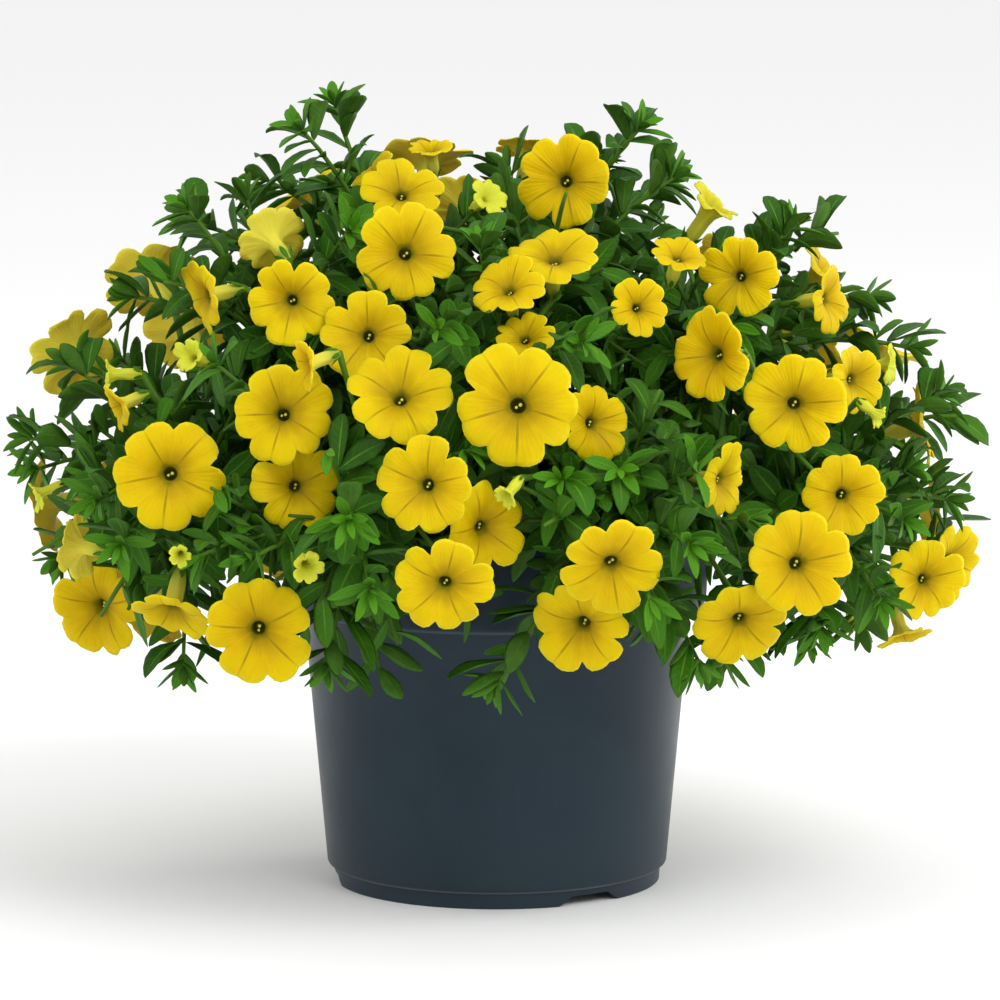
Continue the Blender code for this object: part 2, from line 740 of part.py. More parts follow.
def truss_plan(members, heads, cores, others):
    """The fork and the seat on the nearest core that let a truss's stalks clear everything else."""
    ends = [tube_end(b) for b in members]
    centre = sum(ends, Vector()) / len(ends)
    order = sorted(range(len(heads)), key=lambda k: (centre - heads[k].middle).length)
    rng = random.Random(round(1e6 * centre.length))
    for attempt in range(3 * TRUSS_TRIES):
        head, tree = heads[order[attempt // TRUSS_TRIES]], cores[order[attempt // TRUSS_TRIES]]
        spread = (1 + 0.25 * (attempt % TRUSS_TRIES)) * MM
        jitter = Vector([rng.uniform(-spread, spread) for _ in range(3)])
        away = centre - head.middle
        half_way = head.radius + 0.5 * max(0, away.length - head.radius)
        fork = head.middle + away.normalized() * half_way + jitter
        if len(members) == 1:
            fork = ends[0]
        aim = (head.middle + jitter * 0.7 - fork).normalized()
        hit = tree.ray_cast(fork, aim)[0]
        if hit is None or (hit - fork).length < 3 * MM + SEAT_GAP:
            continue
        seat = hit - aim * SEAT_GAP
        stalks = [rod_tree(fork, seat - aim * 0.2 * MM, PEDICEL_RADIUS)]
        if len(members) > 1:
            stalks += [rod_tree(e + (fork - e) * 0.1, fork, 1.3 * PEDICEL_RADIUS) for e in ends]
        backs = [b.axis.dot((fork - e).normalized()) < 0.25 for b, e in zip(members, ends)]
        if len(members) > 1 and not all(backs):
            continue
        if all(clear(stalk, others) for stalk in stalks):
            return fork, seat
    return None


def make_truss(bm, members, plan):
    """The trumpets of a truss, joined through a hub to the stalk that reaches the core."""
    caps = []
    for bloom in members:
        known = set(bm.faces)
        caps.append(add_trumpet(bm, bloom))
        face_outward(bm, [face for face in bm.faces if face not in known])
    bm.normal_update()
    fork, seat = plan
    way = (seat - fork).normalized()
    if len(members) == 1:
        grown(bm, caps[0], seat, way, PEDICEL_RADIUS)
        return
    known = set(bm.faces)
    bmesh.ops.create_icosphere(bm, subdivisions=1, radius=HUB_RADIUS, matrix=Matrix.Translation(fork))
    bm.normal_update()
    hub = [face for face in bm.faces if face not in known]
    stalk = face_towards(hub, fork, way)
    hub.remove(stalk)
    grown(bm, stalk, seat, way, PEDICEL_RADIUS)
    for cap in caps:
        face = face_towards(hub, fork, (cap.calc_center_median() - fork).normalized())
        hub.remove(face)
        bridged(bm, cap, face)


def make_trusses(collection, heads, blooms, finish):
    """Each truss of blooms as one solid. It returns the search trees of their shapes."""
    cores = [core_tree(head) for head in heads]
    stems = [tree for head in heads for tree in stem_trees(head, head.middle)]
    trees = []
    for bloom in blooms:
        bm = bmesh.new()
        add_trumpet(bm, bloom)
        trees.append(tree_of(bm))
        bm.free()
    made = []
    for number, group in enumerate(group_blooms(blooms, BLOOM_NODES)):
        members = [blooms[k] for k in group]
        others = [t for k, t in enumerate(trees) if k not in group] + cores + stems + made
        plan = truss_plan(members, heads, cores, others)
        if plan is None:
            continue
        bm = bmesh.new()
        make_truss(bm, members, plan)
        face_outward(bm, list(bm.faces))
        made.append(tree_of(bm))
        obj = new_object(f"blooms_{number + 1:02d}", bm, collection)
        obj.data.materials.append(finish)
    return made


def clear_shoot(face, shoot, number, others):
    """The shoot, bent until its stem clears every neighbour."""
    rng = random.Random(500 + number)
    foot = [vert.co + face.normal * 0.6 * MM for vert in face.verts]
    for attempt in range(SHOOT_TRIES):
        stray = 0.8 * attempt * MM
        shift = Vector([rng.uniform(-stray, stray) for _ in range(3)])
        drift = Vector([rng.uniform(-stray, stray) for _ in range(3)]) * 0.35
        bent = shoot._replace(bend=shoot.bend + shift, tip=shoot.tip + drift)
        low = along(bent, LOW)
        if (low - face.calc_center_median()).dot(face.normal) < 2 * MM:
            continue
        parts = [hull(foot + spokes(face, low, tangent_of(bent, LOW), SHOOT_RADIUS))]
        stations = [LOW, *NODES, 1.0]
        for a, b in zip(stations, stations[1:]):
            parts.append(rod_tree(along(bent, a), along(bent, b), 1.4 * SHOOT_RADIUS))
        if all(clear(part, others) for part in parts):
            return bent, parts
    return None, []


def tangent_of(shoot, t):
    return (along(shoot, min(1.0, t + 0.05)) - along(shoot, t - 0.05)).normalized()


def leaf_shape(face, tangent, number, turn, trim):
    """The four corners of a leaf's widest section and its tip, for a leaf that grows from a face."""
    rng = random.Random(number)
    length = LEAF_LENGTH * rng.uniform(0.85, 1.15) * trim
    width = LEAF_WIDTH * rng.uniform(0.85, 1.1) * trim
    droop = rng.uniform(0.0, 0.3) * length
    out = face.normal - tangent * face.normal.dot(tangent)
    out = out.normalized()
    across = tangent.cross(out)
    out = (out + across * turn).normalized()
    direction = (tangent * rng.uniform(0.5, 1.0) + out).normalized()
    side = tangent.cross(direction).normalized()
    up = side.cross(direction).normalized()
    root = face.calc_center_median()
    wide = root + direction * WIDEST * length
    corners = []
    for vert in face.verts:
        spoke = vert.co - root
        sign = 1 if spoke.dot(side) > 0 else -1
        lift = 1 if spoke.dot(tangent) > 0 else -1
        if up.dot(tangent) < 0:
            lift = -lift
        corners.append(wide + side * sign * width / 2 + up * lift * LEAF_THICKNESS / 2)
    return corners, root + direction * length - Vector((0, 0, droop))


def add_leaf(bm, face, tangent, number, others, mine):
    """Grows a leaf from a face of the stem, turned or trimmed until it clears its neighbours."""
    face.normal_update()
    foot = [vert.co + face.normal * 0.5 * MM for vert in face.verts]
    for turn, trim in ((0, 1), (0.5, 1), (-0.5, 1), (1, 0.9), (-1, 0.9), (0, 0.7), (0.8, 0.6), (-0.8, 0.6)):
        corners, tip = leaf_shape(face, tangent, number, turn, trim)
        tree = hull(foot + corners + [tip])
        if clear(tree, others + mine) and not in_pot(tip):
            mine.append(tree)
            pointed(bm, extruded(bm, face, corners), tip)
            return


def in_pot(point):
    return math.hypot(point.x, point.y) < RIM_RADIUS + 2 * MM and point.z < POT_HEIGHT + 2 * MM


def add_shoot(bm, face, shoot, number, others, mine):
    """Grows a shoot from a face of the core: its stem, the leaves at its nodes and the leaf at its tip."""
    bent, parts = clear_shoot(face, shoot, number, others + mine)
    if bent is None:
        return
    cap = grown(bm, face, along(bent, LOW), tangent_of(bent, LOW), SHOOT_RADIUS)
    beds = []
    for t in NODES:
        tangent = tangent_of(bent, t)
        cap = grown(bm, cap, along(bent, t), tangent, SHOOT_RADIUS)
        before = set(bm.faces)
        cap = grown(bm, cap, along(bent, t) + tangent * NODE_LENGTH, tangent, SHOOT_RADIUS)
        sides = sorted(
            (f for f in bm.faces if f not in before and f is not cap), key=lambda f: f.calc_center_median().z
        )
        beds += [(side, tangent) for side in sides[-SIDES_WITH_LEAVES:]]
    tangent = tangent_of(bent, 1.0)
    cap = grown(bm, cap, bent.tip, tangent, 0.8 * SHOOT_RADIUS)
    for k, (side, way) in enumerate(beds):
        add_leaf(bm, side, way, 10 * number + k, others, mine)
    add_tip(bm, cap, tangent, others, mine)
    mine += parts


def add_tip(bm, cap, tangent, others, mine):
    """Ends a shoot in a young leaf that goes on along its stem."""
    across = tangent.cross(Vector((0.3, 0.2, 1))).normalized()
    flat = across.cross(tangent)
    wide = cap.calc_center_median() + tangent * 0.55 * TIP_LEAF
    corners = []
    for vert in cap.verts:
        spoke = vert.co - cap.calc_center_median()
        corners.append(
            wide + across * spoke.dot(across) * TIP_WIDENING + flat * spoke.dot(flat) * TIP_FLATTENING
        )
    tip = cap.calc_center_median() + tangent * TIP_LEAF
    foot = [vert.co + tangent * 0.3 * MM for vert in cap.verts]
    tree = hull(foot + corners + [tip])
    if clear(tree, others + mine):
        mine.append(tree)
        pointed(bm, extruded(bm, cap, corners), tip)


def add_stem(bm, head, free):
    """Grows the main stem from the core down into its hole, and returns its search trees."""
    points = stem_points(head)
    cap = face_towards(free, head.middle, (points[0] - head.middle).normalized())
    free.remove(cap)
    start = cap.calc_center_median() + cap.normal * 2 * MM
    before = start
    for point, after in zip(points, points[1:] + [points[-1] - Vector((0, 0, 1))]):
        way = (point - before).normalized() + (after - point).normalized()
        cap = grown(bm, cap, point, way.normalized(), STEM_RADIUS)
        before = point
    return stem_trees(head, start)


def make_heads(collection, heads, shoots, trusses, pot, finish):
    """Each leafy head as one solid: its stem, its core and its shoots, clear of all its neighbours."""
    shell = bmesh.new()
    graph = bpy.context.evaluated_depsgraph_get()
    shell.from_mesh(pot.evaluated_get(graph).to_mesh())
    pot_tree = tree_of(shell)
    shell.free()
    cores = [core_tree(head) for head in heads]
    stems = [stem_trees(head, head.middle) for head in heads]
    done = []
    for index, head in enumerate(heads):
        apart = [tree for k, tree in enumerate(cores) if k != index]
        apart += [tree for k, pair in enumerate(stems) if k != index for tree in pair]
        others = trusses + apart + done + [pot_tree]
        bm = bmesh.new()
        core(bm, head)
        free = list(bm.faces)
        mine = add_stem(bm, head, free)
        for number, shoot in enumerate(shoots):
            if shoot.head != index:
                continue
            face = face_towards(free, head.middle, (shoot.bend - head.middle).normalized())
            free.remove(face)
            add_shoot(bm, face, shoot, number, others, mine)
        face_outward(bm, list(bm.faces))
        done.append(tree_of(bm))
        obj = new_object(f"leafy_head_{index + 1:02d}", bm, collection)
        obj.data.materials.append(finish)


def main():
    for obj in list(bpy.data.objects):
        bpy.data.objects.remove(obj)
    plant = bpy.data.collections.new("calibrachoa")
    cutters = bpy.data.collections.new("cutters")
    for collection in (plant, cutters):
        bpy.context.scene.collection.children.link(collection)
    heads = plan_heads()
    blooms = plan_blooms(heads)
    shoots = plan_shoots(heads, blooms)
    pot = make_pot(plant, cutters, material("pot plastic", POT_BLUE, 0.45))
    make_soil(plant, cutters, heads, material("soil", SOIL_BROWN, 0.95))
    trusses = make_trusses(plant, heads, blooms, material("petal", YELLOW, 0.6))
    make_heads(plant, heads, shoots, trusses, pot, material("leaf", GREEN, 0.5))


main()
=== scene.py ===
"""The looks of a calibrachoa in its nursery pot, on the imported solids.

The first half repeats the plant's plan, so that each fine piece grows where its solid stands. The second
half makes the fine pieces, their finishes, the studio and the camera.
"""

import math
import random
from collections import namedtuple

import bmesh
import bpy
from mathutils import Matrix, Vector, noise
from mathutils.bvhtree import BVHTree


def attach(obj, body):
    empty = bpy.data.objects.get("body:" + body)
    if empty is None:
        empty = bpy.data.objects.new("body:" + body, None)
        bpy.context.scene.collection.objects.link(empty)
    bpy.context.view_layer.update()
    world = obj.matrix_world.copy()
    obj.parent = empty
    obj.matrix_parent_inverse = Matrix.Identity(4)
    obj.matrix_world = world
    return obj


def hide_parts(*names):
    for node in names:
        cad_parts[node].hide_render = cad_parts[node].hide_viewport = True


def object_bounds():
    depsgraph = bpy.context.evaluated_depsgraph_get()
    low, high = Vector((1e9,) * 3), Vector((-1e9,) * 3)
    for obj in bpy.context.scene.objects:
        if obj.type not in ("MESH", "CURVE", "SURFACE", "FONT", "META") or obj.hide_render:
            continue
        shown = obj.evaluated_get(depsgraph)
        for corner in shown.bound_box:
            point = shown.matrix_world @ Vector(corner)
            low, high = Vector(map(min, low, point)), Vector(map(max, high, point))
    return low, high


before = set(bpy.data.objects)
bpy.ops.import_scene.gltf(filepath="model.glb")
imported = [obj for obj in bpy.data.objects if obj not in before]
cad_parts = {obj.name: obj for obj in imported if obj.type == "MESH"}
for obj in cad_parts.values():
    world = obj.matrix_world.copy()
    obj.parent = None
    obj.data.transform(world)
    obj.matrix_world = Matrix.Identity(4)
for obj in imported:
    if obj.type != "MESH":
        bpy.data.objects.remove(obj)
cad_low, cad_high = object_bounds()

MM = 0.001

# The pot: a 14 cm nursery pot, turned about Z
POT_HEIGHT = 124 * MM
RIM_RADIUS = 70.3 * MM
BAND_BOTTOM_RADIUS = 68.6 * MM
BAND_BOTTOM = 93.4 * MM
BODY_TOP_RADIUS = 63.6 * MM
BODY_BOTTOM_RADIUS = 55.8 * MM
FOOT_RADIUS = 53.6 * MM
FOOT_HEIGHT = 5.5 * MM
FLOOR_HEIGHT = 4.0 * MM
WALL = 1.6 * MM
NOTCH_WIDTH = 20 * MM
NOTCH_HEIGHT = 3.2 * MM
NOTCH_ANGLES = (-55, 65, 185)

# The soil, and the holes where the stems stand
SOIL_TOP = 113 * MM
HOLE_DEPTH = 9 * MM
OVER_RIM = 68 * MM

# The photograph's camera, in metres and pixels of its 1000 x 1000 frame
CAMERA = Vector((0.001, -2.5006, 0.5079))
AIM = Vector((0.001, 0.0188, 0.1229))
PHOTO_MIDDLE = 500
FOCAL_PIXELS = 7722
PIXEL = 0.33 * MM

# The mound: half widths of the dome that the blooms and the shoot tips lie on
MOUND_CENTRE = Vector((0.0, 0.0, 0.118))
MOUND_X = 0.153
MOUND_Y = 0.147
MOUND_BACK = 0.154
WIDEST_TIP = 0.152
MOUND_UP = 0.122
MOUND_DOWN = 0.052

# Leafy heads: rings of (count, first azimuth, height angle, distance from the middle, core radius)
HEAD_MIDDLE = Vector((0.0, 0.0, 0.125))
HEAD_RINGS = (
    (3, 30, 66, 0.074, 0.015),
    (5, 0, 34, 0.088, 0.016),
    (8, 20, 3, 0.106, 0.015),
)

# Blooms that the photograph shows, each by the pixel of its middle, its width in pixels, where it faces
# (turn to the right and tilt up, in degrees, from the viewer), how far it opens and how deep it sits
Sight = namedtuple("Sight", "u v width turn tilt open sink")
SEEN_BLOOMS = (
    Sight(407, 251, 98, 8, 18, 1.0, -6),
    Sight(518, 405, 118, 0, 10, 1.0, -10),
    Sight(168, 474, 106, -4, 8, 1.0, -6),
    Sight(258, 631, 106, 0, 0, 1.0, -4),
    Sight(400, 393, 100, 0, 36, 1.0, -4),
    Sight(424, 485, 94, -14, 8, 1.0, -8),
    Sight(444, 587, 92, -4, -12, 1.0, -8),
    Sight(612, 569, 100, 4, -20, 1.0, -12),
    Sight(580, 628, 98, -16, -14, 1.0, 4),
    Sight(795, 405, 96, 2, 2, 1.0, -10),
    Sight(844, 496, 84, 10, 2, 1.0, -2),
    Sight(800, 564, 100, 14, 6, 1.0, -12),
    Sight(741, 625, 92, 8, -22, 1.0, -2),
    Sight(564, 180, 94, -8, 12, 1.0, -4),
    Sight(290, 301, 84, -8, 4, 1.0, -8),
    Sight(710, 355, 92, -38, 6, 1.0, -6),
    Sight(738, 277, 80, -14, 6, 1.0, 2),
    Sight(640, 307, 62, 20, 14, 0.9, -2),
    Sight(597, 422, 80, 34, 12, 0.95, 4),
    Sight(508, 285, 72, -12, 52, 1.0, 0),
    Sight(555, 252, 88, 6, 62, 1.0, 0),
    Sight(367, 335, 88, -5, 14, 1.0, 12),
    Sight(283, 413, 96, 0, 14, 1.0, 2),
    Sight(297, 487, 88, 10, 6, 1.0, 14),
    Sight(402, 190, 82, 6, 40, 1.0, 4),
    Sight(200, 298, 74, -60, -8, 0.95, 0),
    Sight(95, 610, 98, -32, -14, 1.0, -2),
    Sight(170, 618, 88, -20, -58, 0.9, 6),
    Sight(75, 545, 66, -125, 4, 0.95, 4),
    Sight(928, 580, 80, 26, 4, 1.0, 0),
    Sight(833, 298, 72, 62, 10, 0.95, 0),
    Sight(858, 380, 72, 44, 4, 0.95, 8),
    Sight(728, 480, 74, 56, 2, 0.95, 10),
    Sight(487, 530, 90, 32, -8, 1.0, 8),
    Sight(680, 252, 62, 30, 62, 0.9, 2),
    Sight(270, 238, 68, -150, 24, 1.0, 2),
    Sight(372, 174, 60, -64, 34, 0.95, 4),
    Sight(430, 146, 52, -24, 72, 0.8, 2),
    Sight(490, 196, 46, 44, 30, 0.8, 6),
    Sight(303, 366, 58, -66, -16, 0.8, 4),
    Sight(904, 640, 64, 34, -62, 0.85, 2),
    Sight(852, 632, 46, 8, -74, 0.6, 6),
    Sight(114, 408, 56, -72, -20, 0.8, 4),
    Sight(892, 364, 50, 72, 8, 0.8, 2),
    Sight(525, 335, 64, 0, 40, 0.9, 20),
    Sight(188, 356, 48, -34, 18, 0.6, 2),
    Sight(308, 568, 50, 14, -10, 0.45, -6),
    Sight(107, 374, 48, -82, 2, 0.45, 0),
    Sight(35, 497, 50, -78, -22, 0.45, 0),
    Sight(505, 498, 42, -34, -30, 0.4, -6),
    Sight(180, 556, 38, 0, -6, 0.4, -10),
    Sight(880, 418, 38, 66, -34, 0.4, -4),
)

# Shoot tips that stand out of the mound's outline in the photograph
Tip = namedtuple("Tip", "u v y")
SEEN_TIPS = (
    Tip(352, 100, 10), Tip(300, 128, -20), Tip(440, 142, 20), Tip(246, 196, -10), Tip(186, 208, -30),
    Tip(130, 296, -10), Tip(72, 366, 0), Tip(14, 438, -20), Tip(24, 470, 10), Tip(640, 128, 10),
    Tip(676, 176, -30), Tip(735, 214, 10), Tip(792, 226, -20), Tip(836, 250, 0), Tip(876, 290, 10),
    Tip(912, 348, -10), Tip(974, 416, 0), Tip(942, 396, -30), Tip(994, 546, -20), Tip(986, 622, 10),
    Tip(950, 500, -40), Tip(60, 560, 20), Tip(500, 200, 0), Tip(592, 160, 30), Tip(910, 470, -50),
)

# Leafy tips in front of the blooms, which the photograph shows as bright rosettes
FRONT_TIPS = (
    Tip(436, 330, -8), Tip(326, 452, -12), Tip(348, 520, -12), Tip(590, 336, -8), Tip(690, 545, -14),
    Tip(545, 525, -10), Tip(700, 470, -4), Tip(780, 262, -10), Tip(560, 270, -6), Tip(215, 360, -6),
    Tip(500, 470, 0), Tip(650, 600, -10), Tip(640, 640, -4), Tip(370, 590, -4), Tip(120, 545, -8),
    Tip(100, 500, -8), Tip(880, 600, -8), Tip(905, 520, -8), Tip(620, 470, 0), Tip(200, 556, -2),
    Tip(230, 470, 0), Tip(470, 450, 4), Tip(350, 230, 0), Tip(660, 390, 0), Tip(560, 480, 0),
    Tip(810, 640, 0), Tip(250, 560, 2),
)

# The rest of the mound, which the photograph doesn't show: how many blooms and tips, and how far apart
BACK_BLOOMS = 32
BACK_AZIMUTHS = (72, 288)
BACK_SPACING = 0.036
RULE_TIPS = 63
TIP_SPACING = 0.024
AZIMUTH_STEP = 0.75488
HEIGHT_STEP = 0.56984
BLOOM_NODES = 42
MOST_IN_TRUSS = 3

# A bloom, in shares of its radius: its lip dips at five creases and a little at each petal's middle
PETALS = 5
LIP_POINTS = 20
LIP_REACH = (0.86, 1.0, 0.94, 1.0)
LIP_LIFT = (0.05, 0.0, -0.03, 0.0)
CLOSED_WIDTH = 0.35
CREASE_FOLD = 0.2
THROAT_DEPTH = 0.26
FOLDED_DEPTH = 0.5
MOUTH = 0.2
MOUTH_BACK = 0.26
PIT_DEPTH = 0.3
TUBE_LENGTH = 1.25
FOLDED_LENGTH = 0.3
LIMB_THICKNESS = 1.1 * MM
TUBE_END_RADIUS = 1.3 * MM

# Stalks, stems and leaves
PEDICEL_RADIUS = 0.9 * MM
HUB_RADIUS = 2.4 * MM
SEAT_GAP = 0.3 * MM
SHOOT_RADIUS = 1.1 * MM
STEM_RADIUS = 1.7 * MM
STEM_RINGS = (16 * MM, 30 * MM, 42 * MM)
LEAF_LENGTH = 19 * MM
LEAF_WIDTH = 8.0 * MM
LEAF_THICKNESS = 1.0 * MM
WIDEST = 0.58
TIP_LEAF = 9 * MM
TIP_WIDENING = 3.2
TIP_FLATTENING = 0.6

# A shoot's stations along its length, and its leaves
LOW = 0.3
NODES = (0.52, 0.84)
NODE_LENGTH = 2.2 * MM
SIDES_WITH_LEAVES = 2

# How often a piece is moved before it is given up, and how wide the moves grow
SETTLING_STEPS = 60
TRUSS_TRIES = 80
SHOOT_TRIES = 30

Bloom = namedtuple("Bloom", "middle axis radius open roll")
Head = namedtuple("Head", "middle radius out")
Shoot = namedtuple("Shoot", "head start bend tip")
Leaf = namedtuple("Leaf", "root wide tip width young")


def sight_line(u, v):
    """The direction from the camera through a pixel of the photograph."""
    forward = (AIM - CAMERA).normalized()
    right = forward.cross(Vector((0, 0, 1))).normalized()
    up = right.cross(forward)
    return forward + right * ((u - PHOTO_MIDDLE) / FOCAL_PIXELS) + up * ((PHOTO_MIDDLE - v) / FOCAL_PIXELS)


def seen_at_depth(u, v, y):
    """The point at depth y that the photograph shows at a pixel."""
    ray = sight_line(u, v)
    return CAMERA + ray * ((y - CAMERA.y) / ray.y)


def seen_on_mound(u, v):
    """The point of the mound's front that the photograph shows at a pixel."""
    y = 0.0
    for _ in range(6):
        point = seen_at_depth(u, v, y) - MOUND_CENTRE
        tall = MOUND_UP if point.z > 0 else MOUND_DOWN
        left = 1 - (point.x / MOUND_X) ** 2 - (point.z / tall) ** 2
        y = -MOUND_Y * math.sqrt(max(0.0, left))
    return seen_at_depth(u, v, y)


def on_mound(azimuth, height_angle, scale=1.0):
    """A point of the mound. Azimuth 0 is towards the viewer, 90 to the right."""
    a, h = math.radians(azimuth), math.radians(height_angle)
    tall = MOUND_UP if h > 0 else MOUND_DOWN
    deep = MOUND_Y if math.cos(a) > 0 else MOUND_BACK
    return MOUND_CENTRE + scale * Vector((
        MOUND_X * math.cos(h) * math.sin(a),
        -deep * math.cos(h) * math.cos(a),
        tall * math.sin(h),
    ))


def mound_normal(point):
    """The way out of the mound at a point."""
    p = point - MOUND_CENTRE
    tall = MOUND_UP if p.z > 0 else MOUND_DOWN
    return Vector((p.x / MOUND_X ** 2, p.y / MOUND_Y ** 2, 0.6 * p.z / tall ** 2)).normalized()


def facing(turn, tilt):
    """The unit vector turned right and tilted up, in degrees, from the way to the viewer."""
    a, h = math.radians(turn), math.radians(tilt)
    return Vector((math.sin(a) * math.cos(h), -math.cos(a) * math.cos(h), math.sin(h)))


def funnel_points(bloom):
    """Points spread over a bloom's limb and tube, to test it against others."""
    facing_out = turned_to(bloom.axis)
    points = [bloom.middle - bloom.axis * bloom.radius * step for step in (0.4, 0.8, 1.2)]
    for share in (0.35, 0.7, 1.0):
        for k in range(12):
            a = k * math.tau / 12
            flat = Vector((math.cos(a), math.sin(a), 0)) * bloom.radius * share
            flat.z = (share - 1) * 0.3 * bloom.radius
            points.append(bloom.middle + facing_out @ flat)
    return points


def in_bloom(point, bloom, margin):
    """Whether a point lies within a margin of a bloom's limb or tube."""
    away = point - bloom.middle
    along = away.dot(bloom.axis)
    across = (away - bloom.axis * along).length
    width = limb_width(bloom)
    limb = (across / width - 1) * 0.3 * bloom.radius
    on_limb = across < width + margin and abs(along - limb) < margin + 1.2 * MM
    length = TUBE_LENGTH * bloom.radius
    on_tube = across < 0.2 * bloom.radius + margin and -length < along < 0
    return on_limb or on_tube


def crossing(first, second, margin):
    return any(in_bloom(p, second, margin) for p in funnel_points(first)) or any(
        in_bloom(p, first, margin) for p in funnel_points(second)
    )


def turned_to(axis):
    """A rotation that carries +Z to the axis."""
    return axis.to_track_quat("Z", "Y").to_matrix()


def limb_width(bloom):
    """The radius of a bloom's limb, which is narrower the less it opens."""
    return bloom.radius * (CLOSED_WIDTH + (1 - CLOSED_WIDTH) * bloom.open)


def tube_end(bloom):
    """The middle of the tube's end, where the stalk begins."""
    return bloom.middle - bloom.axis * (TUBE_LENGTH + FOLDED_LENGTH * (1 - bloom.open)) * bloom.radius


def plan_heads():
    """The middles of the leafy heads, ring above ring."""
    heads = []
    for count, first, height_angle, distance, radius in HEAD_RINGS:
        for k in range(count):
            a, h = math.radians(first + k * 360 / count), math.radians(height_angle)
            out = Vector((math.sin(a) * math.cos(h), -math.cos(a) * math.cos(h), math.sin(h)))
            heads.append(Head(HEAD_MIDDLE + out * distance, radius, out))
    return heads


def settle(bloom, others, heads, step):
    """The bloom, moved along a line in growing steps until it crosses no other bloom, core or pot."""
    for k in range(SETTLING_STEPS):
        move = step * ((k + 1) // 2) * (1 if k % 2 else -1)
        moved = bloom._replace(middle=bloom.middle + move)
        points = funnel_points(moved)
        free = not any(crossing(moved, other, 1.2 * MM) for other in others)
        free = free and not any((p - h.middle).length < h.radius + 2 * MM for p in points for h in heads)
        free = free and not any(
            math.hypot(p.x, p.y) < RIM_RADIUS + 4 * MM and p.z < POT_HEIGHT + 3 * MM for p in points
        )
        if free:
            return moved
    return None


def plan_blooms(heads):
    """Every bloom: first those that the photograph shows, then the rest of the mound by a rule."""
    rng = random.Random(41)
    blooms = []
    for s in SEEN_BLOOMS:
        ray = sight_line(s.u, s.v).normalized()
        bloom = Bloom(
            seen_on_mound(s.u, s.v) + ray * s.sink * MM,
            facing(s.turn, s.tilt),
            s.width * PIXEL / 2,
            s.open,
            rng.uniform(0, 72),
        )
        bloom = settle(bloom, blooms, heads, -ray * 2 * MM)
        if bloom:
            blooms.append(bloom)
    tries = 0
    wanted = len(blooms) + BACK_BLOOMS
    while len(blooms) < wanted and tries < 4000:
        tries += 1
        azimuth = rng.uniform(*BACK_AZIMUTHS)
        middle = on_mound(azimuth, math.degrees(math.asin(rng.uniform(-0.75, 0.97))), rng.uniform(0.96, 1.04))
        if any((middle - b.middle).length < BACK_SPACING for b in blooms):
            continue
        lean = Vector((rng.uniform(-0.5, 0.5), rng.uniform(-0.5, 0.5), rng.uniform(-0.25, 0.45)))
        axis = (mound_normal(middle) + lean).normalized()
        radius = rng.uniform(13, 17) * MM
        bloom = Bloom(middle, axis, radius, rng.choice((1, 1, 1, 0.9, 0.5)), rng.uniform(0, 72))
        bloom = settle(bloom, blooms, heads, mound_normal(middle) * 2 * MM)
        if bloom:
            blooms.append(bloom)
    return blooms


def nearest_head(point, heads):
    return min(range(len(heads)), key=lambda k: (point - heads[k].middle).length)


def plan_shoots(heads, blooms):
    """The leafy shoots, each from a head's core to a tip on the mound or standing out of it."""
    rng = random.Random(7)
    tips = [seen_at_depth(t.u, t.v, t.y * MM) for t in SEEN_TIPS]
    for t in FRONT_TIPS:
        tips.append(seen_on_mound(t.u, t.v) + sight_line(t.u, t.v).normalized() * t.y * MM)
    spiral = 0
    added = 0
    while added < RULE_TIPS and spiral < 900:
        height = math.degrees(math.asin(-0.7 + 1.68 * ((spiral * HEIGHT_STEP) % 1.0)))
        tip = on_mound(360 * spiral * AZIMUTH_STEP, height, rng.uniform(0.93, 1.08))
        spiral += 1
        crowded = any((tip - other).length < TIP_SPACING for other in tips)
        if crowded or any(in_bloom(tip, b, 4 * MM) for b in blooms):
            continue
        tips.append(tip)
        added += 1
    shoots = []
    for tip in tips:
        tip.x = max(-WIDEST_TIP, min(WIDEST_TIP, tip.x))
        index = nearest_head(tip, heads)
        head = heads[index]
        out = (tip - head.middle).normalized()
        start = head.middle + out * head.radius * 0.55
        bend = (start + tip) / 2 + Vector((0, 0, 0.16 * (tip - start).length))
        shoots.append(Shoot(index, start, bend, tip))
    return shoots


def group_blooms(blooms, most):
    """Blooms whose tubes end near each other share a truss, until no more than so many trusses are left."""
    ends = [b.middle - b.axis * TUBE_LENGTH * b.radius for b in blooms]
    groups = [[k] for k in range(len(blooms))]
    pairs = sorted(
        ((ends[i] - ends[j]).length, i, j) for i in range(len(blooms)) for j in range(i + 1, len(blooms))
    )
    for _, i, j in pairs:
        if len(groups) <= most:
            break
        first = next(g for g in groups if i in g)
        second = next(g for g in groups if j in g)
        if first is not second and len(first) + len(second) <= MOST_IN_TRUSS:
            first.extend(second)
            groups.remove(second)
    return groups


def along(shoot, t):
    """A point of the shoot's curve, 0 at its start and 1 at its tip."""
    return shoot.start.lerp(shoot.bend, t).lerp(shoot.bend.lerp(shoot.tip, t), t)


def tree_of(bm):
    """A search tree of a bmesh, which is freed."""
    tree = BVHTree.FromBMesh(bm)
    bm.free()
    return tree


def hull(points):
    """A search tree of the convex hull of some points, to test what a piece would cross."""
    bm = bmesh.new()
    for point in points:
        bm.verts.new(point)
    bmesh.ops.convex_hull(bm, input=bm.verts)
    return tree_of(bm)


def clear(tree, others):
    return not any(tree.overlap(other) for other in others)


def spokes(face, point, direction, radius):
    """Where a face's corners go when it is carried to a point and turned to a direction."""
    centre = face.calc_center_median()
    turn = face.normal.rotation_difference(direction)
    placed = []
    for vert in face.verts:
        spoke = turn @ (vert.co - centre)
        spoke -= direction * spoke.dot(direction)
        placed.append(point + spoke.normalized() * radius)
    return placed


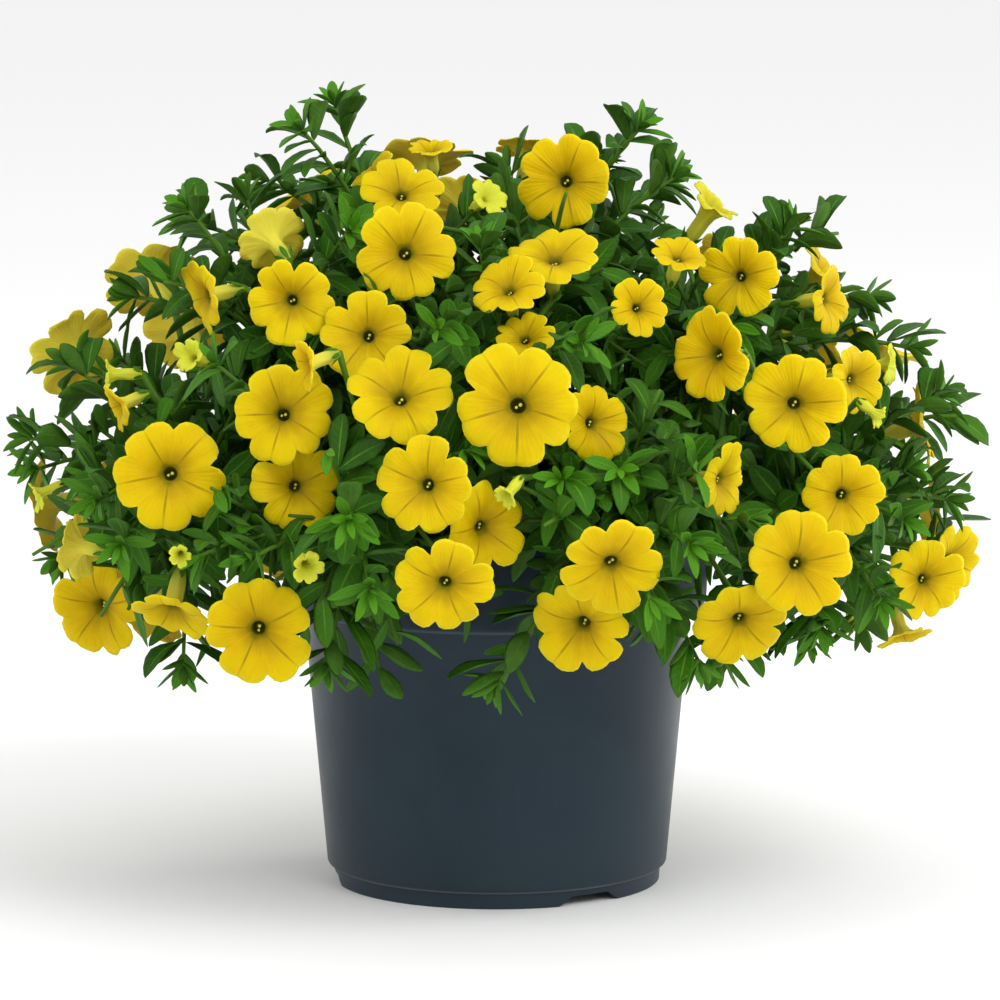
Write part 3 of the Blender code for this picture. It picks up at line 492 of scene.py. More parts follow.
def extruded(bm, face, corners):
    """Extrudes a face, puts the new face's corners where they are told, and returns it."""
    face = bmesh.ops.extrude_discrete_faces(bm, faces=[face])["faces"][0]
    for vert, corner in zip(face.verts, corners):
        vert.co = corner
    face.normal_update()
    return face


def grown(bm, face, point, direction, radius):
    """Extrudes a face to a stem's next section, square to its direction."""
    face.normal_update()
    return extruded(bm, face, spokes(face, point, direction, radius))


def pointed(bm, face, tip):
    """Closes a face to a point."""
    poked = bmesh.ops.poke(bm, faces=[face])
    poked["verts"][0].co = tip


def face_outward(bm, faces):
    """Turns the faces of one closed skin outward."""
    bmesh.ops.recalc_face_normals(bm, faces=faces)
    volume = 0.0
    for face in faces:
        first, *rest = [vert.co for vert in face.verts]
        for second, third in zip(rest, rest[1:]):
            volume += first.dot(second.cross(third))
    if volume < 0:
        bmesh.ops.reverse_faces(bm, faces=faces)


def bridged(bm, first, second):
    """Lofts a tube between two outward three-cornered faces, in the turn that twists it least."""
    near, far = list(first.verts), list(second.verts)
    bmesh.ops.delete(bm, geom=[first, second], context="FACES_ONLY")

    def twist(m):
        return sum((near[k].co - far[(m - k) % 3].co).length for k in range(3))

    m = min(range(3), key=twist)
    for k in range(3):
        bm.faces.new((near[k], near[(k + 1) % 3], far[(m - k - 1) % 3], far[(m - k) % 3]))


def span(bm, lip, ring):
    """Triangles from the lip to a ring of one point a petal, four to each ring point and one between."""
    for j, near in enumerate(ring):
        for k in range(-2, 2):
            bm.faces.new((near, lip[(4 * j + k) % LIP_POINTS], lip[(4 * j + k + 1) % LIP_POINTS]))
        bm.faces.new((near, lip[(4 * j + 2) % LIP_POINTS], ring[(j + 1) % PETALS]))


def regular_ring(bm, count, radius, height):
    """A ring of points whose first lies on the first crease of the lip."""
    ring = bmesh.ops.create_circle(bm, segments=count, radius=radius)["verts"]
    for k, vert in enumerate(ring):
        a = k * math.tau / count
        vert.co = Vector((math.cos(a) * radius, math.sin(a) * radius, height))
    return ring


def narrow(bm, five, three):
    """Lofts a ring of five points to one of three."""
    pairs = ((0, 0), (1, 0), (1, 1), (2, 1), (3, 2), (4, 2), (5, 3))
    for (a, b), (c, d) in zip(pairs, pairs[1:]):
        if a != c and b != d:
            bm.faces.new((five[a % 5], five[c % 5], three[b % 3]))
            bm.faces.new((five[c % 5], three[d % 3], three[b % 3]))
        elif a != c:
            bm.faces.new((five[a % 5], five[c % 5], three[b % 3]))
        else:
            bm.faces.new((five[a % 5], three[d % 3], three[b % 3]))


def add_trumpet(bm, bloom):
    """A scalloped limb of five notched petals, a sunken throat, and a tube, whose end it returns."""
    r = bloom.radius
    width = limb_width(bloom)
    fold = 1 - bloom.open
    lip = bmesh.ops.create_circle(bm, segments=LIP_POINTS, radius=1.0)["verts"]
    for k, vert in enumerate(lip):
        a = k * math.tau / LIP_POINTS
        crease = k % 4 == 0
        reach = (LIP_REACH[k % 4] - CREASE_FOLD * fold * crease) * width
        lift = LIP_LIFT[k % 4] + CREASE_FOLD * fold * (not crease)
        vert.co = Vector((math.cos(a) * reach, math.sin(a) * reach, lift * r))
    depth = (THROAT_DEPTH + FOLDED_DEPTH * fold) * r
    mouth = regular_ring(bm, PETALS, MOUTH * r, -depth)
    back = regular_ring(bm, PETALS, MOUTH_BACK * r, -depth - LIMB_THICKNESS)
    end = regular_ring(bm, 3, TUBE_END_RADIUS, -TUBE_LENGTH * r - FOLDED_LENGTH * fold * r)
    pit = bm.verts.new((0, 0, -depth - PIT_DEPTH * r))
    span(bm, lip, mouth)
    span(bm, lip, back)
    for k in range(PETALS):
        bm.faces.new((mouth[k], mouth[(k + 1) % PETALS], pit))
    narrow(bm, back, end)
    cap = bm.faces.new(end)
    place = Matrix.Translation(bloom.middle) @ turned_to(bloom.axis).to_4x4()
    place = place @ Matrix.Rotation(math.radians(bloom.roll), 4, "Z")
    bmesh.ops.transform(bm, matrix=place, verts=lip + mouth + back + end + [pit])
    return cap


def stem_foot(head):
    """Where a head's main stem stands in the soil, in turn round the middle."""
    inner, middle, outer = STEM_RINGS
    ring = inner if head.out.z > 0.8 else middle if head.out.z > 0.3 else outer
    flat = Vector((head.out.x, head.out.y, 0)).normalized() * ring
    return Vector((flat.x, flat.y, SOIL_TOP))


def core(bm, head):
    """The dense inside of a head, which its shoots grow out of."""
    bmesh.ops.create_icosphere(
        bm, subdivisions=2, radius=head.radius, matrix=Matrix.Translation(head.middle)
    )
    bm.normal_update()


def core_tree(head):
    bm = bmesh.new()
    core(bm, head)
    return tree_of(bm)


def stem_points(head):
    """The main stem from the core's near side: over the rim if it leans that far, to its foot in the soil."""
    foot = stem_foot(head) - Vector((0, 0, HOLE_DEPTH - 1 * MM))
    knee = foot + Vector((0, 0, HOLE_DEPTH + 3 * MM))
    if head.out.z > 0.3:
        return [knee, foot]
    over = Vector((head.out.x, head.out.y, 0)).normalized() * OVER_RIM
    over.z = POT_HEIGHT + 8 * MM
    return [over, knee, foot]


def stem_trees(head, start):
    """Search trees of the main stem's sections, from a start at the core."""
    points = [start] + stem_points(head)
    return [rod_tree(a, b, 1.6 * STEM_RADIUS) for a, b in zip(points, points[1:])]


def rod_tree(start, end, radius):
    """A search tree of a straight stem."""
    bm = bmesh.new()
    way = end - start
    place = Matrix.Translation((start + end) / 2) @ turned_to(way.normalized()).to_4x4()
    bmesh.ops.create_cone(
        bm, cap_ends=True, segments=4, radius1=radius, radius2=radius, depth=way.length, matrix=place
    )
    return tree_of(bm)


def face_towards(faces, middle, direction):
    """The face that looks most nearly along a direction from the middle."""
    return max(faces, key=lambda f: (f.calc_center_median() - middle).normalized().dot(direction))


def truss_plan(members, heads, cores, others):
    """The fork and the seat on the nearest core that let a truss's stalks clear everything else."""
    ends = [tube_end(b) for b in members]
    centre = sum(ends, Vector()) / len(ends)
    order = sorted(range(len(heads)), key=lambda k: (centre - heads[k].middle).length)
    rng = random.Random(round(1e6 * centre.length))
    for attempt in range(3 * TRUSS_TRIES):
        head, tree = heads[order[attempt // TRUSS_TRIES]], cores[order[attempt // TRUSS_TRIES]]
        spread = (1 + 0.25 * (attempt % TRUSS_TRIES)) * MM
        jitter = Vector([rng.uniform(-spread, spread) for _ in range(3)])
        away = centre - head.middle
        half_way = head.radius + 0.5 * max(0, away.length - head.radius)
        fork = head.middle + away.normalized() * half_way + jitter
        if len(members) == 1:
            fork = ends[0]
        aim = (head.middle + jitter * 0.7 - fork).normalized()
        hit = tree.ray_cast(fork, aim)[0]
        if hit is None or (hit - fork).length < 3 * MM + SEAT_GAP:
            continue
        seat = hit - aim * SEAT_GAP
        stalks = [rod_tree(fork, seat - aim * 0.2 * MM, PEDICEL_RADIUS)]
        if len(members) > 1:
            stalks += [rod_tree(e + (fork - e) * 0.1, fork, 1.3 * PEDICEL_RADIUS) for e in ends]
        backs = [b.axis.dot((fork - e).normalized()) < 0.25 for b, e in zip(members, ends)]
        if len(members) > 1 and not all(backs):
            continue
        if all(clear(stalk, others) for stalk in stalks):
            return fork, seat
    return None


def make_truss(bm, members, plan):
    """The trumpets of a truss, joined through a hub to the stalk that reaches the core."""
    caps = []
    for bloom in members:
        known = set(bm.faces)
        caps.append(add_trumpet(bm, bloom))
        face_outward(bm, [face for face in bm.faces if face not in known])
    bm.normal_update()
    fork, seat = plan
    way = (seat - fork).normalized()
    if len(members) == 1:
        grown(bm, caps[0], seat, way, PEDICEL_RADIUS)
        return
    known = set(bm.faces)
    bmesh.ops.create_icosphere(bm, subdivisions=1, radius=HUB_RADIUS, matrix=Matrix.Translation(fork))
    bm.normal_update()
    hub = [face for face in bm.faces if face not in known]
    stalk = face_towards(hub, fork, way)
    hub.remove(stalk)
    grown(bm, stalk, seat, way, PEDICEL_RADIUS)
    for cap in caps:
        face = face_towards(hub, fork, (cap.calc_center_median() - fork).normalized())
        hub.remove(face)
        bridged(bm, cap, face)


def clear_shoot(face, shoot, number, others):
    """The shoot, bent until its stem clears every neighbour."""
    rng = random.Random(500 + number)
    foot = [vert.co + face.normal * 0.6 * MM for vert in face.verts]
    for attempt in range(SHOOT_TRIES):
        stray = 0.8 * attempt * MM
        shift = Vector([rng.uniform(-stray, stray) for _ in range(3)])
        drift = Vector([rng.uniform(-stray, stray) for _ in range(3)]) * 0.35
        bent = shoot._replace(bend=shoot.bend + shift, tip=shoot.tip + drift)
        low = along(bent, LOW)
        if (low - face.calc_center_median()).dot(face.normal) < 2 * MM:
            continue
        parts = [hull(foot + spokes(face, low, tangent_of(bent, LOW), SHOOT_RADIUS))]
        stations = [LOW, *NODES, 1.0]
        for a, b in zip(stations, stations[1:]):
            parts.append(rod_tree(along(bent, a), along(bent, b), 1.4 * SHOOT_RADIUS))
        if all(clear(part, others) for part in parts):
            return bent, parts
    return None, []


def tangent_of(shoot, t):
    return (along(shoot, min(1.0, t + 0.05)) - along(shoot, t - 0.05)).normalized()


def leaf_shape(face, tangent, number, turn, trim):
    """The four corners of a leaf's widest section and its tip, for a leaf that grows from a face."""
    rng = random.Random(number)
    length = LEAF_LENGTH * rng.uniform(0.85, 1.15) * trim
    width = LEAF_WIDTH * rng.uniform(0.85, 1.1) * trim
    droop = rng.uniform(0.0, 0.3) * length
    out = face.normal - tangent * face.normal.dot(tangent)
    out = out.normalized()
    across = tangent.cross(out)
    out = (out + across * turn).normalized()
    direction = (tangent * rng.uniform(0.5, 1.0) + out).normalized()
    side = tangent.cross(direction).normalized()
    up = side.cross(direction).normalized()
    root = face.calc_center_median()
    wide = root + direction * WIDEST * length
    corners = []
    for vert in face.verts:
        spoke = vert.co - root
        sign = 1 if spoke.dot(side) > 0 else -1
        lift = 1 if spoke.dot(tangent) > 0 else -1
        if up.dot(tangent) < 0:
            lift = -lift
        corners.append(wide + side * sign * width / 2 + up * lift * LEAF_THICKNESS / 2)
    return corners, root + direction * length - Vector((0, 0, droop))


def add_leaf(bm, face, tangent, number, others, mine):
    """Grows a leaf as the solid does, and returns its root, its widest place, its tip and its width."""
    face.normal_update()
    foot = [vert.co + face.normal * 0.5 * MM for vert in face.verts]
    for turn, trim in ((0, 1), (0.5, 1), (-0.5, 1), (1, 0.9), (-1, 0.9), (0, 0.7), (0.8, 0.6), (-0.8, 0.6)):
        corners, tip = leaf_shape(face, tangent, number, turn, trim)
        tree = hull(foot + corners + [tip])
        if clear(tree, others + mine) and not in_pot(tip):
            mine.append(tree)
            root = face.calc_center_median()
            pointed(bm, extruded(bm, face, corners), tip)
            wide = sum(corners, Vector()) / len(corners)
            width = max((a - b).length for a in corners for b in corners)
            return Leaf(root, wide, tip, width, 0.15)
    return None


def in_pot(point):
    return math.hypot(point.x, point.y) < RIM_RADIUS + 2 * MM and point.z < POT_HEIGHT + 2 * MM


def add_shoot(bm, face, shoot, number, others, mine):
    """Grows a shoot as the solid does, and returns its bent course and its leaves."""
    bent, parts = clear_shoot(face, shoot, number, others + mine)
    if bent is None:
        return None, []
    cap = grown(bm, face, along(bent, LOW), tangent_of(bent, LOW), SHOOT_RADIUS)
    beds = []
    for t in NODES:
        tangent = tangent_of(bent, t)
        cap = grown(bm, cap, along(bent, t), tangent, SHOOT_RADIUS)
        before = set(bm.faces)
        cap = grown(bm, cap, along(bent, t) + tangent * NODE_LENGTH, tangent, SHOOT_RADIUS)
        sides = sorted(
            (f for f in bm.faces if f not in before and f is not cap), key=lambda f: f.calc_center_median().z
        )
        beds += [(side, tangent) for side in sides[-SIDES_WITH_LEAVES:]]
    tangent = tangent_of(bent, 1.0)
    cap = grown(bm, cap, bent.tip, tangent, 0.8 * SHOOT_RADIUS)
    leaves = [add_leaf(bm, side, way, 10 * number + k, others, mine) for k, (side, way) in enumerate(beds)]
    add_tip(bm, cap, tangent, others, mine)
    mine += parts
    return bent, [leaf for leaf in leaves if leaf]


def add_tip(bm, cap, tangent, others, mine):
    """Ends a shoot in a young leaf that goes on along its stem."""
    across = tangent.cross(Vector((0.3, 0.2, 1))).normalized()
    flat = across.cross(tangent)
    wide = cap.calc_center_median() + tangent * 0.55 * TIP_LEAF
    corners = []
    for vert in cap.verts:
        spoke = vert.co - cap.calc_center_median()
        corners.append(
            wide + across * spoke.dot(across) * TIP_WIDENING + flat * spoke.dot(flat) * TIP_FLATTENING
        )
    tip = cap.calc_center_median() + tangent * TIP_LEAF
    foot = [vert.co + tangent * 0.3 * MM for vert in cap.verts]
    tree = hull(foot + corners + [tip])
    if clear(tree, others + mine):
        mine.append(tree)
        pointed(bm, extruded(bm, cap, corners), tip)


def add_stem(bm, head, free):
    """Grows the main stem from the core down into its hole, and returns its search trees."""
    points = stem_points(head)
    cap = face_towards(free, head.middle, (points[0] - head.middle).normalized())
    free.remove(cap)
    start = cap.calc_center_median() + cap.normal * 2 * MM
    before = start
    for point, after in zip(points, points[1:] + [points[-1] - Vector((0, 0, 1))]):
        way = (point - before).normalized() + (after - point).normalized()
        cap = grown(bm, cap, point, way.normalized(), STEM_RADIUS)
        before = point
    return stem_trees(head, start)


# The fine pieces
BLOOM_STEPS = 60
POT_STEPS = 144
LEAF_AROUND = 8
LEAF_RINGS = 8
GOLDEN = math.radians(137.508)
VIEW = (CAMERA - AIM).normalized()

Truss = namedtuple("Truss", "number members plan")


def grow_trusses(heads, blooms):
    """The trusses as the solids have them, and search trees of their shapes."""
    cores = [core_tree(head) for head in heads]
    stems = [tree for head in heads for tree in stem_trees(head, head.middle)]
    trees = []
    for bloom in blooms:
        bm = bmesh.new()
        add_trumpet(bm, bloom)
        trees.append(tree_of(bm))
    grown_trees = []
    trusses = []
    for number, group in enumerate(group_blooms(blooms, BLOOM_NODES)):
        members = [blooms[k] for k in group]
        others = [t for k, t in enumerate(trees) if k not in group] + cores + stems + grown_trees
        plan = truss_plan(members, heads, cores, others)
        if plan is None:
            continue
        bm = bmesh.new()
        make_truss(bm, members, plan)
        face_outward(bm, list(bm.faces))
        grown_trees.append(tree_of(bm))
        trusses.append(Truss(number + 1, members, plan))
    return trusses, grown_trees


def grow_head(head, index, shoots, others):
    """The courses of one head's shoots, the leaves that its solid has, and a search tree of its shape."""
    bm = bmesh.new()
    core(bm, head)
    free = list(bm.faces)
    mine = add_stem(bm, head, free)
    courses, leaves = [], []
    for number, shoot in enumerate(shoots):
        if shoot.head != index:
            continue
        face = face_towards(free, head.middle, (shoot.bend - head.middle).normalized())
        free.remove(face)
        bent, kept = add_shoot(bm, face, shoot, number, others, mine)
        if bent:
            courses.append(bent)
            leaves += kept
    face_outward(bm, list(bm.faces))
    return courses, leaves, tree_of(bm)


def grow_heads(heads, shoots, truss_trees):
    """For each head, the courses of its shoots and the leaves that its solid has."""
    cores = [core_tree(head) for head in heads]
    stems = [stem_trees(head, head.middle) for head in heads]
    pot = bmesh.new()
    pot.from_mesh(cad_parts["pot"].data)
    pot_tree = tree_of(pot)
    done = []
    grown_heads = []
    for index, head in enumerate(heads):
        apart = [tree for k, tree in enumerate(cores) if k != index]
        apart += [tree for k, pair in enumerate(stems) if k != index for tree in pair]
        courses, leaves, tree = grow_head(head, index, shoots, truss_trees + apart + done + [pot_tree])
        done.append(tree)
        grown_heads.append((courses, leaves))
    return grown_heads


def bell(x, width):
    return math.exp(-((x / width) ** 2))


def mesh_of(bm, name):
    """The finished mesh of a bmesh, which is freed."""
    mesh = bpy.data.meshes.new(name)
    bm.to_mesh(mesh)
    bm.free()
    return mesh


def new_object(name, data):
    """A new object at the origin of the scene."""
    obj = bpy.data.objects.new(name, data)
    bpy.context.scene.collection.objects.link(obj)
    return obj


class Piece:
    """A mesh that parts are added to, with a float attribute for each trait of its surface."""

    def __init__(self, name, *traits):
        self.name = name
        self.bm = bmesh.new()
        self.layers = {trait: self.bm.verts.layers.float.new(trait) for trait in traits}

    def added(self, make):
        """Runs a maker on the mesh and returns the vertices that it adds."""
        before = len(self.bm.verts)
        make(self.bm)
        self.bm.verts.ensure_lookup_table()
        return self.bm.verts[before:]

    def copied(self, template):
        return self.added(lambda bm: bm.from_mesh(template))

    def ball(self, radius, place):
        return self.added(
            lambda bm: bmesh.ops.create_icosphere(bm, subdivisions=1, radius=radius, matrix=place)
        )

    def mark(self, verts, **traits):
        for trait, value in traits.items():
            layer = self.layers[trait]
            for vert in verts:
                vert[layer] = value

    def done(self, finish, slot, node):
        """Keeps the piece inside the solids' box, gives it its finish and lets it replace its node."""
        for vert in self.bm.verts:
            vert.co = [max(low, min(high, c)) for low, c, high in zip(cad_low, vert.co, cad_high)]
        obj = new_object(self.name, mesh_of(self.bm, self.name))
        obj.data.materials.append(finish)
        obj.data.shade_smooth()
        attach(obj, "root")
        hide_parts(node)
        return obj


def turned_template(name, profile, steps):
    """A profile of (radius, height) spun full circle, with each point's row kept as an attribute."""
    bm = bmesh.new()
    row = bm.verts.layers.float.new("row")
    points = []
    for k, (radius, height) in enumerate(profile):
        vert = bm.verts.new((radius, 0, height))
        vert[row] = k
        points.append(vert)
    edges = [bm.edges.new(pair) for pair in zip(points, points[1:])]
    bmesh.ops.spin(
        bm, geom=points + edges, axis=(0, 0, 1), cent=(0, 0, 0), angle=math.tau, steps=steps, use_merge=True
    )
    bmesh.ops.remove_doubles(bm, verts=bm.verts, dist=1e-5)
    bmesh.ops.recalc_face_normals(bm, faces=bm.faces)
    return mesh_of(bm, name)


# A fine bloom: how many rows each part has, and its measures as shares of its radius
THROAT_ROWS = 4
LIMB_ROWS = 10
BACK_ROWS = 5
TUBE_ROWS = 4
FINE_MOUTH = 0.14
FINE_PIT = 0.42
PIT_REACH = -0.12
THROAT_FALL = 0.4
FUNNEL_CURVE = 1.4
FOLD_LIFT = 0.2
PETAL_DOME = 0.06
LIP_DROOP = 0.05
VEIN_GROOVE = 0.016
TUBE_SWELL = 0.05
FLUTTER = 0.02
ANTHER_DEPTH = 0.07
ANTHERS = ((0.04, 0.0, 0.036), (-0.035, -0.02, 0.03))

# The bloom's skin, and when a bloom counts as a bud or as half open
PETAL_SKIN = 0.45 * MM
TUBE_WALL = 0.7 * MM
TUBE_START = 1.2 * MM
TUBE_CAP = 0.2 * MM
BUD_RADIUS = 8.5 * MM
HALF_OPEN = 0.65

# The ranges of each bloom's own form
PETAL_SIZES = (0.93, 1.04)
CREASE_DEPTHS = (0.12, 0.27)
NOTCH_DEPTHS = (0.03, 0.10)
PETAL_CURLS = (-0.17, 0.08)
SADDLES = (0.04, 0.12)
LIMB_TILTS = (0.03, 0.16)

Form = namedtuple("Form", "shift tone petals creases notches curl saddle tilt")


def bloom_rows():
    """The rows of a bloom's skin: (part, share), from the pit over the lip to the tube's end."""
    rows = [("pit", 0.0)]
    rows += [("throat", (k + 1) / THROAT_ROWS) for k in range(THROAT_ROWS)]
    rows += [("limb", (k + 1) / LIMB_ROWS) for k in range(LIMB_ROWS)]
    rows += [("back", 1 - k / BACK_ROWS) for k in range(BACK_ROWS)]
    rows += [("tube", k / TUBE_ROWS) for k in range(TUBE_ROWS + 1)]
    return rows + [("end", 1.0)]


def bloom_template(rows):
    """A skin with a bloom's rows, closed at the pit and at the tube's end."""
    profile = []
    for k, (part, _) in enumerate(rows):
        profile.append((0.0 if part in ("pit", "end") else 0.01, 0.001 * k))
    return turned_template("bloom template", profile, BLOOM_STEPS)


def bloom_form(number):
    """How one bloom differs from the next: its petals' sizes, its creases and how its limb is bent."""
    rng = random.Random(3000 + number)
    shift, tone = rng.uniform(0, math.tau), rng.uniform(-1, 1)
    each = [
        [rng.uniform(*limits) for _ in range(PETALS)]
        for limits in (PETAL_SIZES, CREASE_DEPTHS, NOTCH_DEPTHS, PETAL_CURLS)
    ]
    return Form(shift, tone, *each, rng.uniform(*SADDLES), rng.uniform(*LIMB_TILTS))


def lobe(place, form):
    """The lip's reach at a place round the bloom, counted in petals from the first crease."""
    petal = int(place) % PETALS
    share = place % 1.0
    after = (petal + 1) % PETALS if share > 0.5 else petal
    crease = min(share, 1 - share)
    blend = share * share * (3 - 2 * share)
    size = 1.0 + (form.petals[petal] - 1.0) * math.sin(math.pi * share) ** 0.5
    dip = form.creases[after] * (bell(crease, 0.075) + 0.35 * bell(crease, 0.2))
    return size + 0.02 - dip - form.notches[petal] * bell(blend - 0.5, 0.13)


def across_petal(turn):
    """A turn's place across its petal, from crease to crease, and how near a crease it is."""
    petal = (turn * PETALS) % 1.0
    return petal, abs(2 * petal - 1)


def throat_depth(bloom):
    """How far the throat's mouth lies behind the limb's middle."""
    return (THROAT_DEPTH + FOLDED_DEPTH * (1 - bloom.open)) * bloom.radius


def limb_wave(turn, form):
    """How far the lip is bent at a turn: a flutter, a saddle and each petal's curl."""
    a = turn * math.tau
    petal, vein = across_petal(turn)
    ripple = 0.035 * math.sin(a * 10 + 2 * form.shift) * bell(vein - 0.5, 0.4)
    wave = 0.03 * math.sin(a * 5 + form.shift) + ripple
    wave += form.saddle * math.sin(2 * a + form.shift)
    return wave + form.curl[int(turn * PETALS) % PETALS] * math.sin(math.pi * petal)


def limb_place(share, turn, bloom, form):
    """The radius and height of the limb's face, from the mouth at share 0 to the lip at 1."""
    r = bloom.radius
    fold = 1 - bloom.open
    petal, vein = across_petal(turn)
    mouth = FINE_MOUTH * r
    folded_in = CREASE_FOLD * fold * bell(min(petal, 1 - petal), 0.2)
    lip = limb_width(bloom) * (lobe(turn * PETALS, form) - folded_in)
    radius = mouth + (lip - mouth) * share
    height = -throat_depth(bloom) * (1 - share) ** (FUNNEL_CURVE + fold)
    height += form.tilt * radius * math.cos(turn * math.tau - 2 * form.shift)
    height += r * share * share * (limb_wave(turn, form) + FOLD_LIFT * fold * (1 - bell(vein - 1, 0.3)))
    height += PETAL_DOME * r * math.sin(math.pi * share) * (1 - vein ** 2)
    height -= LIP_DROOP * r * share ** 3
    height -= VEIN_GROOVE * r * bell(vein, 0.09) * share ** 0.5
    return radius, height


def tube_place(share, turn, bloom):
    """The radius and height of the tube's skin, from behind the mouth to its end."""
    r = bloom.radius
    depth = throat_depth(bloom)
    top = FINE_MOUTH * r + TUBE_WALL
    length = (TUBE_LENGTH + FOLDED_LENGTH * (1 - bloom.open)) * r - depth
    neck = top + (TUBE_END_RADIUS - top) * share ** 0.7 + TUBE_SWELL * r * math.sin(math.pi * share)
    ribbed = neck * (1 + 0.05 * math.cos(5 * (turn * math.tau)))
    return ribbed, -depth - TUBE_START - (length - TUBE_START) * share


def bloom_place(part, share, turn, bloom, form):
    """A place on a bloom's skin: its radius, its height, and its reach (1 at the lip, 3 at the end)."""
    r = bloom.radius
    depth = throat_depth(bloom)
    if part == "pit":
        return 0.0, -depth - FINE_PIT * r, PIT_REACH
    if part == "throat":
        radius = FINE_MOUTH * r * (0.55 + 0.45 * share)
        return radius, -depth - THROAT_FALL * r * (1 - share) ** 0.8, PIT_REACH * (1 - share)
    if part == "limb":
        return *limb_place(share, turn, bloom, form), share
    if part == "back":
        radius, height = limb_place(share, turn, bloom, form)
        return radius * (1 - 0.006), height - PETAL_SKIN * (0.6 + 1.4 * (1 - share)), 1.5 + 0.5 * (1 - share)
    if part == "tube":
        return *tube_place(share, turn, bloom), 2 + share
    return 0.0, -(TUBE_LENGTH + FOLDED_LENGTH * (1 - bloom.open)) * r - TUBE_CAP, 3.0


def add_anthers(piece, bloom, place, tone):
    """Two anthers in a bloom's throat."""
    r = bloom.radius
    for x, y, size in ANTHERS:
        spot = place @ Vector((x * r, y * r, -THROAT_DEPTH * r - ANTHER_DEPTH * r))
        dots = piece.ball(size * r, Matrix.Translation(spot))
        piece.mark(dots, reach=-1.0, vein=0.5, tone=tone, bud=0.0)


def add_bloom(piece, bloom, template, rows, number):
    """One fine bloom: its skin from the pit to the tube's end, and its anthers unless it is a bud."""
    form = bloom_form(number)
    bud = 1.0 if bloom.radius < BUD_RADIUS else 0.55 * (bloom.open < HALF_OPEN)
    place = Matrix.Translation(bloom.middle) @ turned_to(bloom.axis).to_4x4()
    place = place @ Matrix.Rotation(math.radians(bloom.roll), 4, "Z")
    layers = piece.layers
    verts = piece.copied(template)
    piece.mark(verts, tone=form.tone, bud=bud)
    for vert in verts:
        part, share = rows[round(vert[layers["row"]])]
        turn = (math.atan2(vert.co.y, vert.co.x) / math.tau) % 1.0
        radius, height, reach = bloom_place(part, share, turn, bloom, form)
        a = turn * math.tau
        if part in ("limb", "back"):
            flutter = FLUTTER * bloom.radius * noise.noise(Vector((math.cos(a) * 2, math.sin(a) * 2, number)))
            height += flutter * max(0.0, min(1.0, reach))
        vert[layers["reach"]] = reach
        vert[layers["vein"]] = across_petal(turn)[1]
        vert.co = place @ Vector((math.cos(a) * radius, math.sin(a) * radius, height))
    if not bud:
        add_anthers(piece, bloom, place, form.tone)


# Fine leaves and stems: their skins, folds, spacing and the radii along each kind of stem
FINE_STEM = 0.85 * MM
LEAF_SKIN = 0.5 * MM
LEAF_FOLD = 0.16
TIP_FOLD = 0.22
SEPAL_FOLD = 0.1
NODE_SPACING = 5.2 * MM
LEAF_TRIES = 5
LEAF_TURN = 1.1
ROSETTE_LEAVES = 8
ROSETTE_LENGTH = 14.5 * MM
ROSETTE_WIDTH = 4.6 * MM
BEFORE_BLOOM = 34 * MM
MAIN_STEM_RADII = (1.5 * MM, 1.7 * MM, 1.9 * MM, 1.9 * MM)
SHOOT_RADII = (1.2 * MM, 1.1 * MM, FINE_STEM, FINE_STEM, 0.75 * MM, 0.6 * MM)
FILLER_RADII = (1.0 * MM, FINE_STEM, 0.6 * MM)
STALK_RADII = (1.5 * MM, 1.3 * MM, 0.8 * MM, 0.8 * MM)
TRUSS_STALK = 0.9 * MM
FILLERS_A_HEAD = 20
FILLER_LEVEL = 0.93
GROUND_SHOOTS = 4


def leaf_template():
    """A globe of few faces, which each leaf is drawn from."""
    bm = bmesh.new()
    bmesh.ops.create_uvsphere(bm, u_segments=LEAF_AROUND, v_segments=LEAF_RINGS, radius=1.0)
    return mesh_of(bm, "leaf template")


def blade_width(t):
    """How wide a leaf is along its length: a short neck, widest past its middle, a blunt point."""
    return (math.sin(math.pi * t ** 1.18) + 0.08 * (1 - t)) ** 0.68 if 0 < t < 1 else 0.0


def new_leaf(root, direction, length, width, droop, young):
    """A leaf from its root along a direction, hanging a little towards its tip."""
    tip = root + direction * length
    tip.z -= droop * length
    wide = root + direction * length * 0.5 + Vector((0, 0, 0.02 * length))
    return Leaf(root, wide, tip, width, young)


def way_out(axis, angle):
    """The way out of a stem at an angle round it."""
    return turned_to(axis) @ Vector((math.cos(angle), math.sin(angle), 0))


